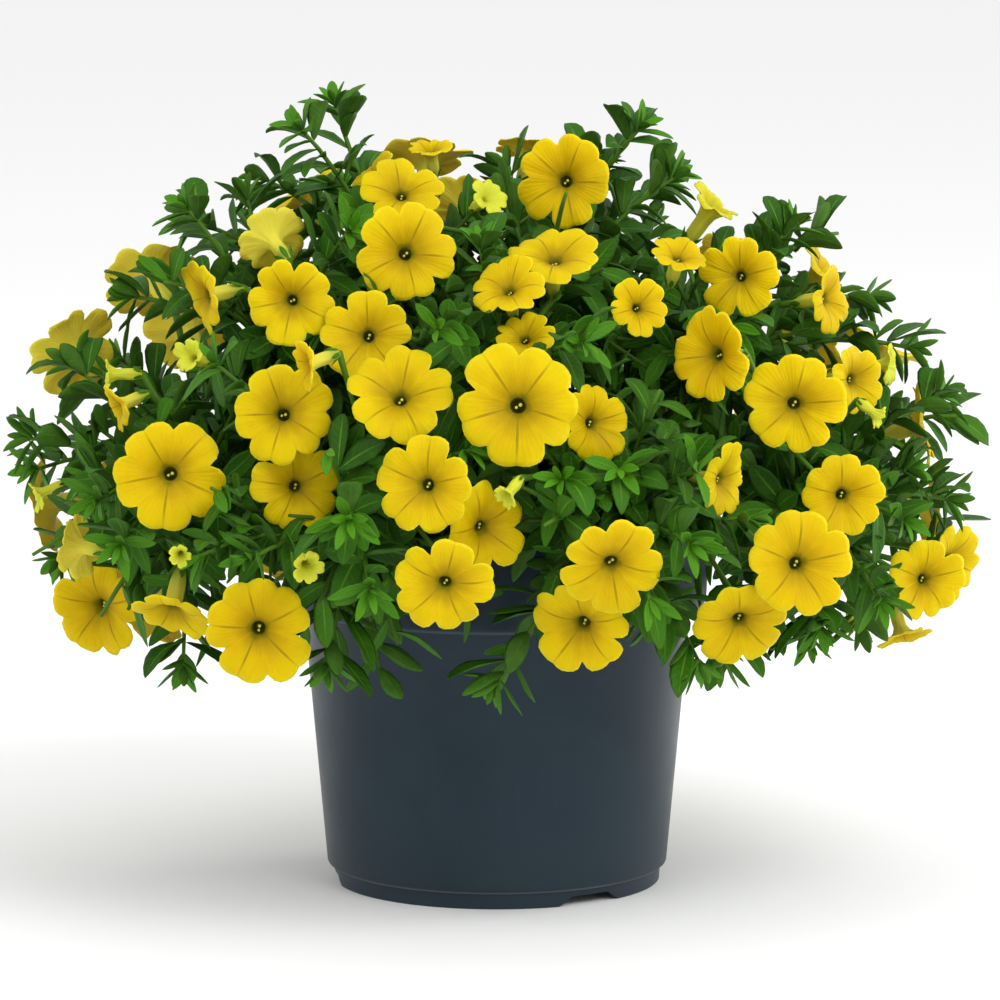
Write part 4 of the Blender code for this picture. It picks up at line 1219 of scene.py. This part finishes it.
class Greenery(Piece):
    """A piece made of stems and leaves."""

    def __init__(self, name, template):
        super().__init__(name, "across", "along", "under", "tone", "young")
        self.template = template

    def leaf(self, leaf, face, tone, fold=LEAF_FOLD):
        """One leaf, folded along its midrib and arched from its root through its widest place to its tip."""
        verts = self.copied(self.template)
        self.mark(verts, tone=tone, young=leaf.young)
        way = (leaf.tip - leaf.root).normalized()
        side = way.cross(face).normalized()
        up = side.cross(way).normalized()
        bow = 2 * leaf.wide - (leaf.root + leaf.tip) / 2
        for vert in verts:
            x, y, z = vert.co
            t = 0.5 + 0.5 * z
            ring = math.sqrt(max(0.0, 1 - z * z))
            across, thick = (x / ring, y / ring) if ring > 1e-4 else (0.0, 0.0)
            course = leaf.root.lerp(bow, t).lerp(bow.lerp(leaf.tip, t), t)
            half = 0.5 * leaf.width * blade_width(t)
            rise = fold * abs(across) * half * 2 + 0.5 * LEAF_SKIN * thick * ring
            rise += 0.06 * half * math.sin(9 * t + 3 * tone) * across * across
            vert.co = course + side * (across * half) + up * rise
            vert[self.layers["across"]] = across
            vert[self.layers["along"]] = t
            vert[self.layers["under"]] = 1.0 if thick < -0.1 else 0.0

    def stem(self, points, radii, young, sides=6):
        """A round stem through some points, closed at both ends."""
        way = (points[1] - points[0]).normalized()
        foot = Matrix.Translation(points[0]) @ turned_to(way).to_4x4()

        def make(bm):
            bmesh.ops.create_circle(bm, cap_ends=True, segments=sides, radius=radii[0], matrix=foot)
            bm.faces.ensure_lookup_table()
            cap = bm.faces[-1]
            cap.normal_update()
            if cap.normal.dot(way) < 0:
                cap.normal_flip()
            cap = grown(bm, cap, points[0] + way * 0.05 * MM, way, radii[0])
            for k in range(1, len(points)):
                after = points[min(k + 1, len(points) - 1)] - points[k - 1]
                cap = grown(bm, cap, points[k], after.normalized(), radii[k])

        verts = self.added(make)
        rim = {edge for vert in verts[:sides] for edge in vert.link_edges if edge.is_boundary}
        bmesh.ops.holes_fill(self.bm, edges=list(rim), sides=0)
        self.mark(verts, across=0.5, along=0.5, under=2.0, tone=0.0, young=young)


def hides(point, bloom):
    """Whether a point touches a bloom or stands close before its face."""
    away = point - bloom.middle
    ahead = away.dot(bloom.axis)
    across = (away - bloom.axis * ahead).length
    width = limb_width(bloom)
    if -0.2 * bloom.radius < ahead < BEFORE_BLOOM and across < 0.96 * width + 0.12 * ahead:
        return True
    if in_bloom(point, bloom, 0.9 * MM):
        return True
    nearer = away.dot(VIEW)
    seen = away - VIEW * nearer
    return bloom.axis.dot(VIEW) > 0.2 and nearer > 0 and seen.length < 0.72 * width


def hides_any(points, blooms):
    return any(hides(point, bloom) for bloom in blooms for point in points)


def leaf_fits(leaf, blooms):
    """Whether a leaf stays out of the pot, inside the solids' box and off the blooms."""
    points = [leaf.root.lerp(leaf.tip, 0.45), leaf.wide, leaf.root.lerp(leaf.tip, 0.75), leaf.tip]
    if any(in_pot(point) for point in points):
        return False
    inside = all(cad_low[k] - MM < leaf.tip[k] < cad_high[k] + MM for k in range(3))
    return inside and not hides_any(points, blooms)


def dress_stem(green, course, near, turn, rng):
    """Leaves one by one along a shoot, each turned until it fits."""
    count = max(2, int((course.tip - course.start).length / NODE_SPACING))
    for k in range(count):
        t = 0.12 + 0.84 * (k + 0.5) / count
        tangent = tangent_of(course, t)
        for attempt in range(LEAF_TRIES):
            radial = way_out(tangent, turn + GOLDEN * k + attempt * LEAF_TURN)
            direction = (tangent * rng.uniform(0.35, 0.9) + radial).normalized()
            size = (1.12 - 0.35 * t) * rng.uniform(0.8, 1.1)
            width = LEAF_WIDTH * size * 1.02
            droop = rng.uniform(-0.05, 0.3)
            leaf = new_leaf(along(course, t), direction, LEAF_LENGTH * size, width, droop, 0.45 * t * t)
            if leaf_fits(leaf, near):
                green.leaf(leaf, (tangent - 0.4 * radial).normalized(), rng.uniform(-1, 1))
                break


def dress_tip(green, course, near, turn, rng):
    """The rosette of small bright leaves at a shoot's tip."""
    tangent = tangent_of(course, 1.0)
    for k in range(ROSETTE_LEAVES):
        radial = way_out(tangent, turn + GOLDEN * k)
        inner = k / ROSETTE_LEAVES
        root = course.tip - tangent * 2.5 * MM * (1 - inner)
        direction = (tangent * (0.35 + 1.6 * inner) + radial).normalized()
        size = 1.0 - 0.55 * inner
        leaf = new_leaf(root, direction, ROSETTE_LENGTH * size, ROSETTE_WIDTH * size, 0.05, 0.6 + 0.4 * inner)
        if leaf_fits(leaf, near):
            green.leaf(leaf, (tangent - 0.4 * radial).normalized(), rng.uniform(-1, 1), TIP_FOLD)


def dress_shoot(green, course, blooms, rng, rosette):
    """The leaves of one shoot, with or without a rosette at its tip."""
    reach = (course.tip - course.start).length + 60 * MM
    near = [b for b in blooms if (b.middle - course.tip).length < reach]
    turn = rng.uniform(0, math.tau)
    dress_stem(green, course, near, turn, rng)
    if rosette:
        dress_tip(green, course, near, turn, rng)


def ground_courses(head, index):
    """Low shoots that rise from a main stem's foot and fill the inside of the mound over the soil."""
    rng = random.Random(8000 + index)
    courses = []
    foot = stem_foot(head) + Vector((0, 0, 2 * MM))
    for k in range(GROUND_SHOOTS):
        a = GOLDEN * k + index
        lean = Vector((math.cos(a), math.sin(a), 0)) * rng.uniform(8, 24) * MM
        tip = foot * 0.8 + lean + Vector((0, 0, 0.2 * foot.z + rng.uniform(16, 46) * MM))
        if Vector((tip.x, tip.y)).length > BAND_BOTTOM_RADIUS - 10 * MM:
            continue
        courses.append(Shoot(index, foot, (foot + tip) / 2 + Vector((0, 0, 6 * MM)), tip))
    return courses


def kept_inside(tip):
    """A tip, drawn in to lie under the mound's surface."""
    spread = tip - MOUND_CENTRE
    tall = MOUND_UP if spread.z > 0 else MOUND_DOWN
    level = math.sqrt((spread.x / MOUND_X) ** 2 + (spread.y / MOUND_Y) ** 2 + (spread.z / tall) ** 2)
    return MOUND_CENTRE + spread * (FILLER_LEVEL / level) if level > FILLER_LEVEL else tip


def filler_courses(head, index):
    """Short inner shoots that fill the mound round a head, by a spiral over all its sides."""
    courses = []
    for k in range(FILLERS_A_HEAD):
        rng = random.Random(7000 + 100 * index + k)
        up = 1 - 1.95 * (k + 0.5) / FILLERS_A_HEAD
        flat = math.sqrt(max(0.0, 1 - up * up))
        a = GOLDEN * k + index
        way = turned_to(head.out) @ Vector((math.cos(a) * flat, math.sin(a) * flat, up))
        reach = (rng.uniform(30, 44) if up > -0.3 else rng.uniform(34, 62)) * MM
        tip = kept_inside(head.middle + way * reach)
        if in_pot(tip) or (tip - head.middle).length < 12 * MM:
            continue
        bend = (head.middle + tip) / 2 + Vector((0, 0, 3 * MM))
        courses.append(Shoot(index, head.middle, bend, tip))
    return courses


def dress_head(head, index, grown_head, blooms, template, finish):
    """One leafy head: its main stem, its shoots and every leaf on them."""
    green = Greenery(f"foliage_{index + 1:02d}", template)
    rng = random.Random(9000 + index)
    courses, leaves = grown_head
    green.stem([head.middle] + stem_points(head), MAIN_STEM_RADII, 0.2, 8)
    for course in courses:
        whole = course._replace(start=head.middle)
        green.stem([along(whole, t) for t in (0.0, 0.2, 0.4, 0.6, 0.8, 1.0)], SHOOT_RADII, 0.6)
        dress_shoot(green, whole, blooms, rng, True)
    for leaf in leaves:
        if not hides_any([leaf.wide, leaf.tip], blooms):
            green.leaf(leaf, Vector((0, 0, 1)), rng.uniform(-1, 1))
    for course in filler_courses(head, index) + ground_courses(head, index):
        green.stem([along(course, t) for t in (0.0, 0.5, 1.0)], FILLER_RADII, 0.1, 5)
        dress_shoot(green, course, blooms, rng, False)
    green.done(finish, "leaf", f"leafy_head_{index + 1:02d}")


def add_calyx(green, bloom, end, start):
    """Five narrow sepals round a tube's end."""
    for n in range(PETALS):
        radial = way_out(bloom.axis, n * math.tau / PETALS + start)
        root = end + radial * 0.8 * MM - bloom.axis * 0.5 * MM
        direction = (bloom.axis + 0.5 * radial).normalized()
        sepal = new_leaf(root, direction, 0.5 * bloom.radius, 0.15 * bloom.radius, 0.0, 0.5)
        green.leaf(sepal, radial, 0.3 * n - 0.6, SEPAL_FOLD)


def dress_truss(truss, template, rows, leaf_mesh, petal, leaf):
    """One truss: its fine blooms, and their stalks and calyces as a green piece."""
    petals = Piece(f"petals_{truss.number:02d}", "row", "reach", "vein", "tone", "bud")
    green = Greenery(f"stalks_{truss.number:02d}", leaf_mesh)
    fork, seat = truss.plan
    shared = len(truss.members) > 1
    for k, bloom in enumerate(truss.members):
        add_bloom(petals, bloom, template, rows, 10 * truss.number + k)
        end = tube_end(bloom)
        goal = fork if shared else seat
        course = [end + bloom.axis * 1.5 * MM, end - bloom.axis * 0.2 * MM, end.lerp(goal, 0.5), goal]
        green.stem(course, STALK_RADII, 0.7)
        add_calyx(green, bloom, end, truss.number)
    if shared:
        green.stem([fork, fork.lerp(seat, 0.5), seat], [TRUSS_STALK] * 3, 0.5)
    node = f"blooms_{truss.number:02d}"
    petals.done(petal, "petal", node)
    green.done(leaf, "leaf", node)


# The pot's section: inside, rolled rim, rounded collar, body, foot and underside
SHELF = BAND_BOTTOM - 1.2 * MM
POT_PROFILE = (
    (0, FLOOR_HEIGHT + WALL),
    (BODY_BOTTOM_RADIUS - WALL - 2 * MM, FLOOR_HEIGHT + WALL),
    (BODY_TOP_RADIUS - WALL, BAND_BOTTOM + 1.5 * MM),
    (BAND_BOTTOM_RADIUS - WALL, BAND_BOTTOM + 4.5 * MM),
    (RIM_RADIUS - 1.6 * WALL, POT_HEIGHT - 0.8 * MM),
    (RIM_RADIUS - 1.35 * WALL, POT_HEIGHT - 0.2 * MM),
    (RIM_RADIUS - 1.1 * WALL, POT_HEIGHT),
    (RIM_RADIUS - 0.4 * WALL, POT_HEIGHT),
    (RIM_RADIUS - 0.1 * WALL, POT_HEIGHT - 0.3 * MM),
    (RIM_RADIUS, POT_HEIGHT - 1.0 * MM),
    (BAND_BOTTOM_RADIUS + 0.1 * MM, SHELF + 2.4 * MM),
    (BAND_BOTTOM_RADIUS - 0.1 * MM, SHELF + 1.2 * MM),
    (BAND_BOTTOM_RADIUS - 0.6 * MM, SHELF + 0.4 * MM),
    (BAND_BOTTOM_RADIUS - 1.6 * MM, SHELF),
    (BODY_TOP_RADIUS + 0.5 * MM, SHELF - 0.2 * MM),
    (BODY_TOP_RADIUS, SHELF - 0.8 * MM),
    (BODY_BOTTOM_RADIUS + 0.05 * MM, FOOT_HEIGHT + 1.3 * MM),
    (BODY_BOTTOM_RADIUS - 0.2 * MM, FOOT_HEIGHT + 0.7 * MM),
    (FOOT_RADIUS + 1.0 * MM, FOOT_HEIGHT),
    (FOOT_RADIUS + 0.3 * MM, FOOT_HEIGHT - 0.5 * MM),
    (FOOT_RADIUS + 0.1 * MM, FOOT_HEIGHT - 1.6 * MM),
    (FOOT_RADIUS - 0.1 * MM, 0.4 * MM),
    (FOOT_RADIUS - 0.5 * MM, 0),
    (FOOT_RADIUS - 2.2 * MM, 0),
    (FOOT_RADIUS - 2.6 * MM, 0.4 * MM),
    (FOOT_RADIUS - 3.4 * MM, FLOOR_HEIGHT),
    (0, FLOOR_HEIGHT),
)
NOTCH_SLOPE = 0.12
SHARP_EDGE = math.radians(35)


def in_notch(turn):
    """How deep in a foot notch an angle lies: 1 in its flat part, 0 outside, with sloped sides."""
    half = NOTCH_WIDTH / FOOT_RADIUS / 2
    depth = 0.0
    for angle in NOTCH_ANGLES:
        away = abs((turn - math.radians(angle) + math.pi) % math.tau - math.pi)
        depth = max(depth, min(1.0, max(0.0, (half - away) / (NOTCH_SLOPE * half))))
    return depth


def dress_pot(finish):
    """The pot turned in fine steps, with its foot notches raised from the rim of its foot."""
    piece = Piece("nursery_pot")
    for vert in piece.copied(turned_template("pot", POT_PROFILE, POT_STEPS)):
        radius = math.hypot(vert.co.x, vert.co.y)
        if radius > FOOT_RADIUS - 4 * MM and vert.co.z < FOOT_HEIGHT - 1.7 * MM:
            vert.co.z = max(vert.co.z, in_notch(math.atan2(vert.co.y, vert.co.x)) * NOTCH_HEIGHT)
    piece.bm.verts.layers.float.remove(piece.bm.verts.layers.float["row"])
    obj = piece.done(finish, "pot_plastic", "pot")
    obj.data.set_sharp_from_angle(angle=SHARP_EDGE)


# The soil that shows: a crown over the hidden plug, and its grains
CROWN_RADIUS = BAND_BOTTOM_RADIUS - WALL - 0.4 * MM
CROWN_DEPTH = 10 * MM
CROWN_STEPS = 48
GRAINS = 260
GRIT_SHARE = 0.14
GRIT_MARK = 1.0
PEAT_MARK = 0.4


def make_crown(bm):
    """A crumbly disc with a skirt that goes down inside the collar."""
    top = Matrix.Translation((0, 0, SOIL_TOP))
    bmesh.ops.create_circle(
        bm, cap_ends=True, cap_tris=True, segments=CROWN_STEPS, radius=CROWN_RADIUS, matrix=top
    )
    bmesh.ops.subdivide_edges(bm, edges=list(bm.edges), cuts=10, use_grid_fill=True)
    skirt = bmesh.ops.extrude_face_region(bm, geom=list(bm.faces))["geom"]
    low = {vert for vert in skirt if isinstance(vert, bmesh.types.BMVert)}
    for vert in bm.verts:
        if vert in low:
            vert.co.z = SOIL_TOP - CROWN_DEPTH
            continue
        bump = noise.noise(vert.co * 260) * 1.2 + noise.noise(vert.co * 90) * 1.0
        vert.co.z += bump * MM * min(1.0, (CROWN_RADIUS - vert.co.xy.length) / (4 * MM) + 0.2)
    bmesh.ops.recalc_face_normals(bm, faces=bm.faces)


def dress_soil(finish):
    """The soil: its crown, with grains of peat and grit on it."""
    piece = Piece("potting_soil", "grain")
    piece.added(make_crown)
    rng = random.Random(77)
    for _ in range(GRAINS):
        a, d = rng.uniform(0, math.tau), CROWN_RADIUS * 0.96 * math.sqrt(rng.random())
        size = rng.uniform(0.5, 1.7) * MM
        spot = Vector((math.cos(a) * d, math.sin(a) * d, SOIL_TOP + 0.4 * MM))
        stretch = Matrix.Diagonal((rng.uniform(0.7, 1.4), rng.uniform(0.7, 1.2), rng.uniform(0.5, 0.9), 1))
        grain = piece.ball(size, Matrix.Translation(spot) @ stretch)
        piece.mark(grain, grain=GRIT_MARK if rng.random() < GRIT_SHARE else PEAT_MARK)
    piece.done(finish, "soil", "soil")


class Value:
    """A shader value. Arithmetic on it adds Math nodes to its finish."""

    def __init__(self, finish, socket):
        self.finish = finish
        self.socket = socket

    def __add__(self, other):
        return self.finish.math("ADD", self, other)

    def __mul__(self, other):
        return self.finish.math("MULTIPLY", self, other)

    def __sub__(self, other):
        return self.finish.math("SUBTRACT", self, other)

    def __rsub__(self, other):
        return self.finish.math("SUBTRACT", other, self)

    __radd__ = __add__
    __rmul__ = __mul__


class Finish:
    """A material whose nodes are made one call at a time, with its colour laid on in coats."""

    def __init__(self, name, roughness, **constants):
        self.material = bpy.data.materials.new(name)
        self.material.use_nodes = True
        self.tree = self.material.node_tree
        self.shader = self.tree.nodes["Principled BSDF"]
        self.shader.inputs["Roughness"].default_value = roughness
        for socket, value in constants.items():
            self.shader.inputs[socket.replace("_", " ")].default_value = value

    def node(self, kind, settings, inputs, output=0):
        made = self.tree.nodes.new(kind)
        for setting, value in settings.items():
            setattr(made, setting, value)
        for socket, value in inputs.items():
            self.put(made.inputs[socket], value)
        return Value(self, made.outputs[output])

    def put(self, socket, value):
        if isinstance(value, Value):
            self.tree.links.new(value.socket, socket)
        else:
            socket.default_value = value

    def math(self, operation, *values):
        return self.node("ShaderNodeMath", {"operation": operation}, dict(enumerate(values)))

    def traits(self, *names):
        return [self.node("ShaderNodeAttribute", {"attribute_name": name}, {}, "Fac") for name in names]

    def place(self):
        return self.node("ShaderNodeTexCoord", {}, {}, "Object")

    def noise(self, scale, detail=3.0, rough=0.55):
        inputs = {"Vector": self.place(), "Scale": scale, "Detail": detail, "Roughness": rough}
        return self.node("ShaderNodeTexNoise", {}, inputs)

    def step(self, value, low, high, start=0.0, end=1.0):
        """A smooth change from start to end as the value goes from low to high."""
        inputs = {"Value": value, "From Min": low, "From Max": high, "To Min": start, "To Max": end}
        return self.node("ShaderNodeMapRange", {"interpolation_type": "SMOOTHSTEP"}, inputs)

    def mix(self, factor, first, second):
        """A colour between two others. The Mix node's colours are its sockets 6 and 7, its result 2."""
        first, second = (c if isinstance(c, Value) else (*c, 1.0) for c in (first, second))
        return self.node("ShaderNodeMix", {"data_type": "RGBA"}, {0: factor, 6: first, 7: second}, 2)

    def coated(self, base, *coats):
        """A colour with others laid over it, each where its mask shows."""
        for mask, colour in coats:
            base = self.mix(mask, base, colour)
        return base

    def shade(self, colour, roughness, height, strength, distance):
        """Gives the shader its colour, its roughness and a bump of some strength and distance."""
        bump = self.node("ShaderNodeBump", {}, {"Height": height, "Strength": strength, "Distance": distance})
        self.put(self.shader.inputs["Base Color"], colour)
        self.put(self.shader.inputs["Roughness"], roughness)
        self.put(self.shader.inputs["Normal"], bump)
        return self.material


# The colours of the petals, the leaves, the pot and the soil
DEEP_YELLOW, LIGHT_YELLOW = (0.55, 0.382, 0.001), (0.63, 0.468, 0.001)
WARM_YELLOW, SUNLIT_YELLOW = (0.54, 0.335, 0.001), (0.68, 0.525, 0.002)
# The crease ochre is painted shade for the folds between the petals.
LIP_YELLOW, CREASE_SHADE_OCHRE = (0.80, 0.66, 0.02), (0.50, 0.28, 0.002)
STREAK_OCHRE, VEIN_BROWN = (0.42, 0.25, 0.002), (0.20, 0.13, 0.003)
GLOW_OCHRE, THROAT_OLIVE, PIT_OLIVE = (0.29, 0.19, 0.001), (0.20, 0.165, 0.004), (0.17, 0.17, 0.015)
BACK_YELLOW, TUBE_GREEN, BACK_RIBS = (0.68, 0.60, 0.06), (0.36, 0.42, 0.05), (0.58, 0.50, 0.04)
BUD_YELLOW, BUD_GREEN, ANTHER_CREAM = (0.60, 0.61, 0.045), (0.30, 0.42, 0.03), (0.50, 0.52, 0.09)
SHADE_GREEN, MID_GREEN, MOTTLE_GREEN = (0.009, 0.038, 0.003), (0.022, 0.092, 0.003), (0.032, 0.125, 0.003)
YOUNG_GREEN, RIB_GREEN, MIDRIB_GREEN = (0.075, 0.255, 0.006), (0.06, 0.19, 0.010), (0.095, 0.26, 0.018)
HEM_GREEN, UNDER_GREEN, PALE_GREEN = (0.08, 0.24, 0.015), (0.050, 0.135, 0.016), (0.080, 0.185, 0.024)
OLD_STEM, YOUNG_STEM = (0.045, 0.100, 0.008), (0.085, 0.20, 0.016)
POT_DARK, POT_BLUE, DRAW_BLUE = (0.0095, 0.0215, 0.033), (0.014, 0.029, 0.042), (0.022, 0.034, 0.047)
# The foot-edge and collar-edge greys are painted highlights on the pot's rounded edges.
POT_PALER_LOW, FOOT_EDGE_HIGHLIGHT = (0.030, 0.039, 0.047), (0.16, 0.18, 0.19)
COLLAR_EDGE_HIGHLIGHT, SCUFF_GREY = (0.085, 0.105, 0.125), (0.040, 0.052, 0.063)
PEAT_DARK, PEAT_BROWN = (0.012, 0.008, 0.005), (0.060, 0.036, 0.020)
GRAIN_BROWN, GRIT_PALE = (0.09, 0.055, 0.03), (0.62, 0.60, 0.55)


def petal_face(finish, reach, vein, tone, mottle, fine, fan):
    """The face of the petals: a light lip, fine streaks, dark veins that run out of an olive throat, and
    painted shade in the creases between the petals.
    """
    step = finish.step
    line = finish.math("LESS_THAN", vein, step(reach, 0.1, 1.0, 0.085, 0.03))
    return finish.coated(
        finish.mix(step(mottle, 0.35, 0.7), DEEP_YELLOW, LIGHT_YELLOW),
        (step(tone, -1, 1, 0.0, 0.45), WARM_YELLOW),
        (step(reach, 0.45, 0.95) * 0.35, SUNLIT_YELLOW),
        (step(reach + fine * 0.06, 0.93, 1.04) * 0.6, LIP_YELLOW),
        # Painted shade: the creases between the petals are darkened towards ochre.
        (step(vein, 0.9, 1.0) * step(reach, 0.25, 0.9) * 0.35, CREASE_SHADE_OCHRE),
        (step(fan, 0.55, 1.0) * step(reach, 0.95, 0.15) * 0.2, STREAK_OCHRE),
        (line * step(reach, 1.02, 0.5, 0.12, 0.62), VEIN_BROWN),
        (step(reach + mottle * 0.16 + tone * 0.05, 0.66, 0.04) * 0.85, GLOW_OCHRE),
        (step(reach + vein * 0.06 + mottle * 0.06, 0.2, 0.03), THROAT_OLIVE),
        (step(reach, 0.02, -0.1), PIT_OLIVE),
    )


def petal_finish():
    """Yellow petals with paler backs, greener buds and cream anthers."""
    finish = Finish(
        "calibrachoa petal", 0.65, Specular_IOR_Level=0.07, Subsurface_Weight=0.35,
        Subsurface_Scale=0.002, Subsurface_Radius=(1.0, 0.62, 0.08),
    )
    step = finish.step
    reach, vein, tone, bud = finish.traits("reach", "vein", "tone", "bud")
    mottle = finish.noise(90)
    fine = finish.noise(700, 2.0)
    fan = finish.math("SINE", vein * 34 + mottle * 3.0)
    front = petal_face(finish, reach, vein, tone, mottle, fine, fan)
    back = finish.mix(step(reach, 2.0, 2.9), BACK_YELLOW, TUBE_GREEN)
    back = finish.mix(step(fan, 0.2, 1.0) * 0.25, back, BACK_RIBS)
    fresh = finish.mix(step(fan, 0.3, 1.0) * 0.5, BUD_YELLOW, BUD_GREEN)
    anther = finish.math("LESS_THAN", reach, -0.5)
    whole = finish.coated(front, (step(reach, 1.2, 1.45), back), (bud, fresh), (anther, ANTHER_CREAM))
    height = step(fan, -1, 1) * 0.35 + step(vein, 0.0, 0.08) * 0.6 + fine * 0.4
    return finish.shade(whole, step(mottle, 0.3, 0.7, 0.5, 0.66), height, 0.35, 0.0004)


def leaf_finish():
    """Green leaves: a pale midrib, faint side veins, paler undersides, and brighter young growth."""
    finish = Finish("calibrachoa leaf", 0.5, Specular_IOR_Level=0.13)
    step = finish.step
    across, lengthwise, under, tone, young = finish.traits("across", "along", "under", "tone", "young")
    edge = finish.math("ABSOLUTE", across)
    mottle = finish.noise(160)
    ribs = finish.math("SINE", lengthwise * 46 - edge * 9)
    green = finish.coated(
        finish.mix(step(tone, -1, 1), SHADE_GREEN, MID_GREEN),
        (step(mottle, 0.35, 0.75) * 0.5, MOTTLE_GREEN),
        (young, YOUNG_GREEN),
        (step(ribs, 0.6, 1.0) * step(edge, 0.95, 0.3) * 0.22, RIB_GREEN),
        (step(edge, 0.13, 0.03) * step(lengthwise, 1.0, 0.3, 0.2, 0.85), MIDRIB_GREEN),
        (step(edge + mottle * 0.1, 0.93, 1.06) * 0.35, HEM_GREEN),
        (step(under, 0.4, 0.6) * 0.75, finish.mix(step(mottle, 0.3, 0.7), UNDER_GREEN, PALE_GREEN)),
        (step(under, 1.4, 1.6), finish.mix(young, OLD_STEM, YOUNG_STEM)),
    )
    hairs = finish.noise(2600, 2.0)
    height = step(ribs, 0.4, 1.0) * 0.4 + step(edge, 0.0, 0.16) * 0.9 + hairs * 0.5
    return finish.shade(green, step(mottle, 0.3, 0.7, 0.45, 0.62), height, 0.4, 0.0004)


def pot_finish():
    """Dark blue-grey moulded plastic: fine grain, upright draw marks and scuffs, paler towards the foot, with
    painted highlights along the rounded edges of the foot and the collar.
    """
    finish = Finish("nursery pot plastic", 0.4, Specular_IOR_Level=0.2)
    step = finish.step
    cloud = finish.noise(22, 4.0)
    speck = finish.noise(1500, 2.0)
    height = finish.node("ShaderNodeSeparateXYZ", {}, {"Vector": finish.place()}, "Z")
    upright = finish.node("ShaderNodeMapping", {}, {"Vector": finish.place(), "Scale": (1.0, 1.0, 0.05)})
    draw = finish.node("ShaderNodeTexNoise", {}, {"Vector": upright, "Scale": 260.0, "Detail": 2.0})
    foot_edge_gap = finish.math("ABSOLUTE", height - FOOT_HEIGHT)
    ledge = finish.math("ABSOLUTE", height - (BAND_BOTTOM - 0.6 * MM))
    scuff = step(finish.noise(340, 5.0, 0.7), 0.66, 0.74) * 0.3
    plastic = finish.coated(
        finish.mix(step(cloud, 0.3, 0.7), POT_DARK, POT_BLUE),
        (step(draw, 0.55, 0.8) * 0.2, DRAW_BLUE),
        # Paler and greyer towards the foot, over the lowest 4 cm.
        (step(height, 0.04, 0.0) * 0.25, POT_PALER_LOW),
        # Painted highlight: a pale line along the rounded step at the top of the foot.
        (step(foot_edge_gap, 0.0006, 0.0002) * 0.45, FOOT_EDGE_HIGHLIGHT),
        # Painted highlight: a pale line along the rounded lower edge of the collar.
        (step(ledge, 0.0009, 0.0003) * 0.45, COLLAR_EDGE_HIGHLIGHT),
        (scuff, SCUFF_GREY),
    )
    roughness = step(cloud, 0.3, 0.7, 0.34, 0.46) + scuff * 0.3
    return finish.shade(plastic, roughness, speck * 0.6 + draw * 0.5, 0.12, 0.0003)


def soil_finish():
    """Moist dark peat with pale grit grains."""
    finish = Finish("potting soil", 0.95)
    lumps = finish.noise(420, 5.0, 0.7)
    grain = finish.traits("grain")[0]
    peat = finish.coated(
        finish.mix(finish.step(lumps, 0.3, 0.7), PEAT_DARK, PEAT_BROWN),
        (finish.step(grain, 0.3, 0.5) * 0.4, GRAIN_BROWN),
        (finish.step(grain, 0.7, 0.9), GRIT_PALE),
    )
    return finish.shade(peat, finish.step(lumps, 0.2, 0.8, 0.8, 1.0), lumps, 0.9, 0.002)


# The studio: each lamp's name, place, size and power
LAMPS = (
    ("key", (1.1, -1.5, 1.7), 1.3, 31.0),
    ("fill", (-1.6, -1.3, 1.4), 1.4, 8.0),
    ("left edge", (-1.3, 0.55, 0.45), 0.6, 1.5),
    ("right edge", (1.3, 0.55, 0.45), 0.6, 6.0),
)
LAMP_AIM = Vector((0, 0, 0.13))
ROOM_STRENGTH = 0.95
FLOOR_SIZE = 6.0
FLOOR_GREY = (0.9, 0.9, 0.9, 1)
SENSOR_WIDTH = 36
PHOTO_WIDTH = 1000


def aimed(obj, spot, target):
    """Puts a lamp or the camera at a spot and turns it to a target."""
    obj.location = spot
    obj.rotation_euler = (target - Vector(spot)).to_track_quat("-Z", "Y").to_euler()


def set_room():
    """A white room with a pale floor."""
    scene = bpy.context.scene
    scene.view_settings.view_transform = "Standard"
    scene.world = bpy.data.worlds.new("white room")
    scene.world.use_nodes = True
    background = scene.world.node_tree.nodes["Background"]
    background.inputs["Color"].default_value = (1, 1, 1, 1)
    background.inputs["Strength"].default_value = ROOM_STRENGTH
    bm = bmesh.new()
    bmesh.ops.create_grid(bm, x_segments=1, y_segments=1, size=FLOOR_SIZE)
    floor = new_object("floor", mesh_of(bm, "floor"))
    pale = Finish("pale floor", 0.9)
    pale.shader.inputs["Base Color"].default_value = FLOOR_GREY
    floor.data.materials.append(pale.material)


def set_lamps():
    """Four soft lamps."""
    for name, spot, size, power in LAMPS:
        light = bpy.data.lights.new(name, "AREA")
        light.size = size
        light.energy = power
        lamp = new_object(name, light)
        aimed(lamp, spot, LAMP_AIM)


def set_camera():
    """The photograph's camera."""
    lens = bpy.data.cameras.new("camera")
    lens.sensor_width = SENSOR_WIDTH
    lens.lens = FOCAL_PIXELS * SENSOR_WIDTH / PHOTO_WIDTH
    camera = new_object("camera", lens)
    aimed(camera, CAMERA, AIM)
    bpy.context.scene.camera = camera


def main():
    set_camera()
    set_room()
    set_lamps()
    heads = plan_heads()
    blooms = plan_blooms(heads)
    shoots = plan_shoots(heads, blooms)
    trusses, truss_trees = grow_trusses(heads, blooms)
    grown_heads = grow_heads(heads, shoots, truss_trees)
    petal, leaf = petal_finish(), leaf_finish()
    dress_pot(pot_finish())
    dress_soil(soil_finish())
    rows = bloom_rows()
    template = bloom_template(rows)
    leaf_mesh = leaf_template()
    for truss in trusses:
        dress_truss(truss, template, rows, leaf_mesh, petal, leaf)
    for index, head in enumerate(heads):
        dress_head(head, index, grown_heads[index], blooms, leaf_mesh, leaf)


main()
